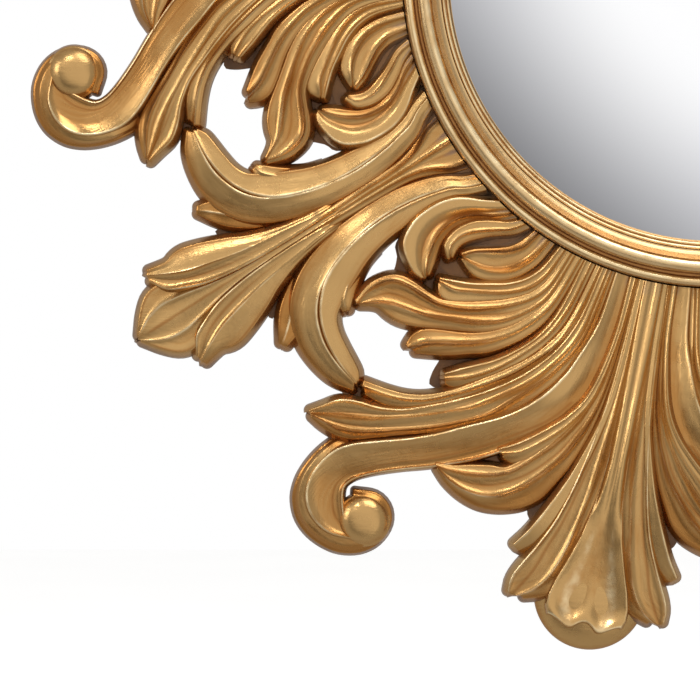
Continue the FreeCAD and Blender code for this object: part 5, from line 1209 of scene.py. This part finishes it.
@dataclass
class CarvedBorder:
    """The eight carved and gilded blocks of the border."""

    gilt: bpy.types.Material
    tongue: Tongue = Tongue()
    plate: RootPlate = RootPlate()
    eye: Point = (20.8, 219.2)
    eye_radius: float = 16.4
    ball: Point = (0.0, 208.0)
    ball_radius: float = 36.7
    ball_height: float = 12.6
    palmette_edge: float = 33.0   # drawn angle where the plates of a palmette
    fan_edge: float = 36.5        # and of a fan end

    def eye_profile(self) -> np.ndarray:
        """Boss of a scroll: its top falls by 0.5 t^2 + 5.8 t^3.6 to a rounded neck and a low floor.

        Returns:
            Radius and height of each corner.
        """
        top = float(crest_line(np.array(self.eye[1]))) + 0.2
        t = np.linspace(0.03, 1.0, 24)
        dome = np.stack([self.eye_radius * t, top - 0.5 * t**2 - 5.8 * t**3.6], axis=1)
        turn = np.radians([30.0, 60.0, 85.0])
        neck = np.stack([self.eye_radius + 1.2 * np.sin(turn), top - 6.3 - 1.6 * (1 - np.cos(turn))], axis=1)
        return np.concatenate([dome, neck, [[self.eye_radius + 2.4, 4.0]]])

    def ball_profile(self) -> np.ndarray:
        """Ball under the lip: nearly flat on top, rolling over ever faster down to the back."""
        t = np.sin(np.linspace(0.02, 1.0, 40) * np.pi / 2)
        return np.stack([self.ball_radius * t, self.ball_height * (1.0 - t**2.4) ** 0.5 + 0.5], axis=1)

    def palmette(self, turn: float) -> Surface:
        """One palmette: both halves of the flowing leaves about a palmette axis.

        Args:
            turn: Turn of the block in degrees.

        Returns:
            The block's surface.
        """
        parts = [self.tongue.surface(turn), boss(self.ball, Half.WIDE, turn, self.ball_profile(), 0.04, 120)]
        foot = feet(0.06)
        for half in Half:
            for name, rails in PALMETTE_LEAVES.items():
                spread = 0.0 if name == "scroll" else 1.0
                draft = STEM_DRAFT if name in ("scroll", "stem") else LEAF_DRAFT
                parts.append(Leaf(rails, half, turn, spread, next(foot), draft).surface())
            parts += [ground(outline, height, half, turn, next(foot)) for height, outline in PALMETTE_GROUND]
            parts.append(boss(self.eye, half, turn, self.eye_profile(), next(foot)))
        start, stop = (float(drawn_angle(self.palmette_edge, half)) + turn for half in (Half.NARROW, Half.WIDE))
        return joined([*parts, self.plate.surface(start, stop, next(foot))])

    def fan(self, turn: float) -> Surface:
        """One fan: the plain lobes on a fan axis and a hooked leaf on either side.

        Args:
            turn: Turn of the block in degrees.

        Returns:
            The block's surface.
        """
        parts = [Leaf(mirrored(rails), Half.WIDE, turn, foot=foot).surface()
                 for rails, foot in ((FAN_CENTRE, 0.02), (SPANDREL, 0.05))]
        foot = feet(0.08)
        sides = ((Half.WIDE, turn), (Half.NARROW, turn + REPEAT))
        for half, turned_by in sides:
            for name, rails in FAN_LEAVES.items():
                leaf = Leaf(rails, half, turned_by, foot=next(foot))
                leaf.rise = 0.8 if name in ("hook_side_tip", "hook_barb") else leaf.rise
                leaf.bow = 0.03 if name.startswith("hook") else leaf.bow
                parts.append(leaf.surface())
            parts += [ground(outline, height, half, turned_by, next(foot)) for height, outline in FAN_GROUND]
        start, stop = (float(drawn_angle(self.fan_edge, half)) + turned_by for half, turned_by in sides)
        return joined([*parts, self.plate.surface(start, stop, next(foot))])

    def build(self) -> None:
        """Make the four palmettes and the four fans."""
        for i in range(4):
            for name, block in (("palmette", self.palmette), ("fan", self.fan)):
                piece(f"{name}_leaves_{i + 1}", block(i * REPEAT), self.gilt, "frame",
                      (f"{name}_carving_{i + 1}",))


# ------------------------------------------------------------------- moulding and glass
def arc(centre: Point, radius: float, start: float, stop: float, number: int) -> list[Point]:
    """Corners along an arc of a profile.

    Args:
        centre: Its centre, as radius from the axis and y.
        radius: Its radius.
        start: First angle, in degrees from the radial direction towards the front.
        stop: Last angle.
        number: How many corners.

    Returns:
        The corners.
    """
    a = np.radians(np.linspace(start, stop, number))
    return list(zip((centre[0] + radius * np.cos(a)).tolist(), (centre[1] - radius * np.sin(a)).tolist()))


def dome_y(radius: float | np.ndarray, over: float) -> np.ndarray:
    """Y of the glass's sphere, made larger by some millimetres, at a distance from the axis."""
    dome = (GLASS_RADIUS**2 + GLASS_RISE**2) / (2 * GLASS_RISE)
    centre = BACK_Y - 5.0 - GLASS_RISE + dome
    return centre - np.sqrt((dome + over) ** 2 - np.square(radius))


def turned(profile: list[Point], around: int, values: dict[str, np.ndarray] | None = None) -> Surface:
    """Closed ring: a closed profile of radius and y carried round the axis.

    Args:
        profile: Corners in millimetres.
        around: Points round the ring.
        values: Values on the corners.

    Returns:
        The closed surface.
    """
    p = np.array(profile, float)
    values = values or {}
    if wound(p) is not p:
        p, values = p[::-1], {key: value[::-1] for key, value in values.items()}
    theta = np.linspace(0, 2 * np.pi, around, endpoint=False)[:, None]
    x, z = p[:, 0] * np.cos(theta), p[:, 0] * np.sin(theta)
    points = (np.stack([x, np.broadcast_to(p[:, 1], x.shape), z], axis=-1) * MM).reshape(-1, 3)
    quads = grid_quads(around, len(p), wrap=True, close=True)
    run = running(np.linalg.norm(np.diff(p, axis=0), axis=1))
    uv = np.stack(np.broadcast_arrays(theta * MOULDING_RADIUS, run), axis=-1) * MM
    probe = points[quads[:len(p)]]
    normal = np.cross(probe[:, 2] - probe[:, 0], probe[:, 3] - probe[:, 1])
    centre = probe.mean(axis=1) * np.array([1.0, 0.0, 1.0])
    outer = np.argmax(np.linalg.norm(centre, axis=1))
    if normal[outer] @ centre[outer] < 0:
        quads = quads[:, ::-1]
    return Surface(points, [quads], {key: np.tile(v, around) for key, v in values.items()}, uv.reshape(-1, 2))


@dataclass
class SightMoulding:
    """Turned ring moulding: lip, thin bead, cove, torus, groove and outer bead."""

    gilt: bpy.types.Material
    around: int = 480

    def profile(self) -> tuple[list[Point], dict[str, np.ndarray]]:
        """Its profile, member by member, with each corner's crest, ridge and groove tones: painted shade where crest is
        low, a painted highlight where ridge is high, painted shade where groove is high.

        Returns:
            Corners, and their values.
        """
        r, back = SIGHT_RADIUS, BACK_Y
        lip = float(dome_y(r + 0.4, 1.2))
        front, cove = lip - 2.4, back - 13.2
        t = np.linspace(0, 1, 12)
        hollow = list(zip((r + 5.1 + 6.2 * t).tolist(), (cove + 0.9 - 10.1 * t**2.3).tolist()))
        torus, bead = (r + 15.8, back - 19.6), (r + 25.8, back - 14.4)
        edge, inner = MOULDING_RADIUS - 0.05, GLASS_RADIUS + 2.0
        seat = float(dome_y(inner - 1.0, 1.2))
        # Each member: corners, then crest (low is painted shade), ridge (painted highlight) and groove (painted shade).
        members = (
            ([(r + 0.4, lip), (r, lip - 0.8)], 0.2, 0.0, 0.5),
            (arc((r + 0.8, front + 0.75), 0.75, 175, 100, 4), 1.0, 1.0, 0.0),
            (arc((r + 0.9, front + 0.75), 0.75, 80, 10, 4), 1.0, 1.0, 0.0),
            ([(r + 2.0, front + 1.3), (r + 2.4, front + 1.3)], 0.3, 0.0, 0.75),
            (arc((r + 3.55, front + 0.3), 1.05, 165, 15, 9), 1.0, 1.0, 0.0),
            ([(r + 4.8, front + 0.75)], 0.3, 0.0, 0.8),
            (hollow, 0.75, 0.1, 0.1),
            ([(r + 11.45, cove - 10.0)], 0.4, 0.0, 0.8),
            (arc(torus, 4.45, 155, 95, 9), 1.0, 1.0, 0.0),
            (arc(torus, 4.45, 88, -12, 12), 1.0, 0.5, 0.0),
            ([(r + 20.55, back - 15.6), (r + 21.0, back - 12.9), (r + 22.2, back - 12.9)], 0.1, 0.0, 1.0),
            (arc(bead, 3.15, 172, 90, 9), 1.0, 1.0, 0.0),
            (arc(bead, 3.15, 80, -22, 9), 0.9, 0.3, 0.0),
            ([(edge, back - 11.0), (edge, back)], 0.1, 0.0, 0.9),
            ([(inner, back), (inner, seat), (inner - 1.0, seat)], 0.1, 0.0, 0.6))
        table = np.array([(*corner, *tones) for corners, *tones in members for corner in corners])
        return table[:, :2].tolist(), dict(zip(("crest", "ridge", "groove"), table[:, 2:].T))

    def build(self) -> None:
        """Make the moulding."""
        points, values = self.profile()
        piece("turned_moulding", turned(points, self.around, values), self.gilt, "frame",
              ("sight_moulding",), crease=40.0)


@dataclass
class ConvexGlass:
    """Domed silvered glass with its soft seat."""

    silver: bpy.types.Material
    soft: bpy.types.Material
    around: int = 256
    rows: int = 48
    seat: Point = (SIGHT_RADIUS + 1.4, GLASS_RADIUS - 0.4)
    seat_over: Point = (0.1, 1.1)     # faces of the gasket over the glass

    def dome(self) -> Surface:
        """Glass between two spheres about one centre, its poles and its rim closed.

        Returns:
            The closed surface.
        """
        r = np.linspace(0.0, 1.0, self.rows + 1)[1:] * GLASS_RADIUS
        faces = (0.0, -GLASS_THICKNESS)
        front, back = (BACK_Y - dome_y(r, over) for over in faces)
        poles = tuple(BACK_Y - float(dome_y(0.0, over)) for over in faces)
        return capped((0.0, 0.0), np.append(r, r[::-1]), np.append(front, back[::-1]), poles, self.around)

    def build(self) -> None:
        """Make the glass and the gasket; the foam ring is shown as its node."""
        piece("domed_glass", self.dome(), self.silver, "frame", ("mirror_glass",))
        (a, b), (low, high) = self.seat, self.seat_over
        rim = [(r, float(dome_y(r, over))) for r, over in ((a, low), (b, low), (b, high), (a, high))]
        piece("soft_gasket", turned(rim, 200), self.soft, "frame", ("rim_gasket",))


# ------------------------------------------------------------------- back
@dataclass
class BackFittings:
    """Backing ring, board, buttons, hangers, screws and bumpers, shown as their nodes with their finishes."""

    finishes: dict[str, PlainFinish]

    def build(self) -> None:
        """Give each remaining node the first finish whose key starts its name.

        A material of the finish's name that is already there, from an earlier
        node or from the frame itself, is used as it is.
        """
        for name, node in sorted(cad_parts.items()):
            if node.hide_render:
                continue
            finish = next((f for key, f in self.finishes.items() if name.startswith(key)), None)
            if finish is None:
                log.warning("%s has no finish", name)
                continue
            made = bpy.data.materials.get(finish.name) or finish.material()
            node.data.materials.clear()
            node.data.materials.append(made)
            log.info("%s: %s", name, finish.name)


# ------------------------------------------------------------------- studio
@dataclass
class Studio:
    """Pale floor, soft lamps, white surroundings and a camera square to the glass."""

    at: Point = (-0.2391, -0.2454)
    seen: float = 0.455
    distance: float = 3.2
    sensor: float = 36.0
    carving_y: float = -0.040
    ambient: float = 0.5
    around: float = 0.1
    floor_size: float = 6.0
    floor_z: float = -0.62
    floor_light: float = 0.54
    screen_size: float = 3.6
    screen_y: float = -3.7

    def surroundings(self) -> None:
        """White to the camera, softer on dull surfaces and in reflections."""
        world = bpy.data.worlds.new("studio")
        bpy.context.scene.world = world
        world.use_nodes = True
        tree = world.node_tree
        tree.nodes.clear()
        path = tree.nodes.new("ShaderNodeLightPath")
        first = tree.nodes.new("ShaderNodeMath")
        first.operation = "MULTIPLY_ADD"
        first.inputs[1].default_value = self.around
        second = tree.nodes.new("ShaderNodeMath")
        second.operation = "MAXIMUM"
        strength = tree.nodes.new("ShaderNodeMix")
        strength.inputs[2].default_value = self.ambient
        strength.inputs[3].default_value = 1.0
        back = tree.nodes.new("ShaderNodeBackground")
        back.inputs["Color"].default_value = (1.0, 1.0, 1.0, 1.0)
        out = tree.nodes.new("ShaderNodeOutputWorld")
        for source, goal in ((path.outputs["Is Glossy Ray"], first.inputs[0]),
                             (path.outputs["Is Camera Ray"], first.inputs[2]),
                             (first.outputs[0], second.inputs[0]),
                             (path.outputs["Is Transmission Ray"], second.inputs[1]),
                             (second.outputs[0], strength.inputs[0]),
                             (strength.outputs[0], back.inputs["Strength"]),
                             (back.outputs[0], out.inputs[0])):
            tree.links.new(source, goal)

    def sheet(self, name: str, corners: list[tuple[float, float, float]], shader: Shader) -> bpy.types.Object:
        """Put a flat sheet into the studio.

        Args:
            name: Name of the object.
            corners: Its four corners in metres.
            shader: Its material.

        Returns:
            The new object.
        """
        mesh = bpy.data.meshes.new(name)
        mesh.from_pydata(corners, [], [(0, 1, 2, 3)])
        mesh.materials.append(shader.material)
        made = bpy.data.objects.new(name, mesh)
        bpy.context.scene.collection.objects.link(made)
        made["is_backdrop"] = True
        return made

    def floor(self) -> None:
        """Pale floor well below the object, which keeps its shadow and stays out of reflections."""
        shader = Shader("pale_floor")
        tone = shader.noise(shader.place(), 3.0, 3.0)
        path = shader.add("ShaderNodeLightPath")
        seen = shader.sum("MAXIMUM", path.outputs["Is Camera Ray"], path.outputs["Is Transmission Ray"])
        shader.finish(Base_Color=shader.blend(tone, linear(232, 231, 229), linear(240, 239, 237)), Roughness=0.8,
                      Emission_Color=(1.0, 1.0, 1.0), Emission_Strength=shader.sum("MULTIPLY", seen, self.floor_light))
        size, z = self.floor_size, self.floor_z
        made = self.sheet("floor", [(-size, -size, z), (size, -size, z), (size, size, z), (-size, size, z)], shader)
        made.visible_glossy = False

    def screen(self) -> None:
        """Wide screen behind the camera, shown in reflections only: it fades towards its lower left corner."""
        shader = Shader("soft_screen")
        along = shader.vector("DOT_PRODUCT", shader.place(), (0.7071, 0.0, 0.7071)).outputs["Value"]
        light = shader.span(along, -2.9, -0.2, 0.22, 1.0)
        light = shader.sum("SUBTRACT", light, shader.span(along, 0.9, 3.6, 0.0, 0.3))
        shader.finish(Base_Color=(0.0, 0.0, 0.0), Emission_Color=(1.0, 1.0, 1.0), Emission_Strength=light)
        size, y = self.screen_size, self.screen_y
        made = self.sheet("screen", [(-size, y, -size), (-size, y, size), (size, y, size), (size, y, -size)], shader)
        made.visible_camera = made.visible_diffuse = made.visible_shadow = made.visible_transmission = False

    def lamp(self, name: str, at: tuple[float, float, float], size: float, power: float) -> None:
        """Soft square lamp aimed at the middle of the object.

        Args:
            name: Name of the lamp.
            at: Its place in metres.
            size: Its side in metres.
            power: Its power in watts.
        """
        data = bpy.data.lights.new(name, "AREA")
        data.size = size
        data.energy = power
        made = bpy.data.objects.new(name, data)
        made.location = at
        made.rotation_mode = "QUATERNION"
        made.rotation_quaternion = (-Vector(at)).to_track_quat("-Z", "Y")
        bpy.context.scene.collection.objects.link(made)
        made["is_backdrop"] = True

    def camera(self) -> None:
        """Camera straight on, level with the middle of what the photograph shows."""
        data = bpy.data.cameras.new("camera")
        data.sensor_width = self.sensor
        data.lens = self.sensor * self.distance / self.seen
        data.clip_end = 50.0
        made = bpy.data.objects.new("camera", data)
        made.location = (self.at[0], self.carving_y - self.distance, self.at[1])
        made.rotation_euler = (math.pi / 2, 0.0, 0.0)
        bpy.context.scene.collection.objects.link(made)
        bpy.context.scene.camera = made

    def build(self) -> None:
        """Set up the view, the light, the floor and the camera."""
        bpy.context.scene.view_settings.view_transform = "Standard"
        self.surroundings()
        self.floor()
        self.screen()
        self.lamp("key_lamp", (0.7, -1.5, 2.2), 1.7, 34.0)
        self.lamp("spark_lamp", (-1.0, -1.7, 1.5), 0.4, 9.0)
        self.lamp("side_lamp", (-2.2, -1.2, 0.5), 0.9, 10.0)
        self.camera()


SCREW_STEEL = PlainFinish("screw_steel", linear(190, 190, 188), linear(170, 170, 168), Grain.METAL, 0.32, 1.0)
# By the start of a node's name; the first that fits counts.
FINISHES = {
    "backing_ring": PlainFinish("ring_wood", linear(176, 142, 100), linear(150, 116, 78), Grain.WOOD, 0.62),
    "foam_ring": PlainFinish("foam", linear(60, 60, 62), linear(74, 74, 76), Grain.RUBBER, 0.9),
    "back_board": PlainFinish("back_board", linear(150, 116, 84), linear(134, 100, 70), Grain.BOARD, 0.7),
    "turn_button_screws": SCREW_STEEL,
    "turn_button": PlainFinish("button_brass", linear(206, 172, 96), linear(190, 152, 80), Grain.METAL, 0.3, 1.0),
    "d_ring_screws": SCREW_STEEL,
    "carving_screws": SCREW_STEEL,
    "d_ring": PlainFinish("hanger_steel", linear(198, 197, 192), linear(180, 179, 174), Grain.METAL, 0.28, 1.0),
    "wall_bumpers": PlainFinish("rubber", linear(44, 44, 46), linear(56, 56, 58), Grain.RUBBER, 0.8),
}


def corners() -> list[list[float]]:
    """Lowest and highest corner of what shows, as plain lists."""
    return [[float(v) for v in corner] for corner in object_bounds()]


def main() -> None:
    """Build every piece in order, then the studio."""
    logging.basicConfig(level=logging.INFO, format="%(name)s: %(message)s")
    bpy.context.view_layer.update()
    CarvedBorder(GiltFinish().material()).build()
    # A lighter copy of the gilt for the moulding: a painted highlight over the whole moulding.
    rubbed_highlight = GiltFinish("lit_gold_leaf", leaf=linear(214, 178, 126), shade=linear(190, 146, 92))
    SightMoulding(rubbed_highlight.material()).build()
    soft = PlainFinish("gasket", linear(40, 40, 42), linear(52, 52, 54), Grain.RUBBER, 0.8)
    ConvexGlass(SilveredFinish().material(), soft.material()).build()
    BackFittings(FINISHES).build()
    Studio().build()


if __name__ == "__main__":
    main()
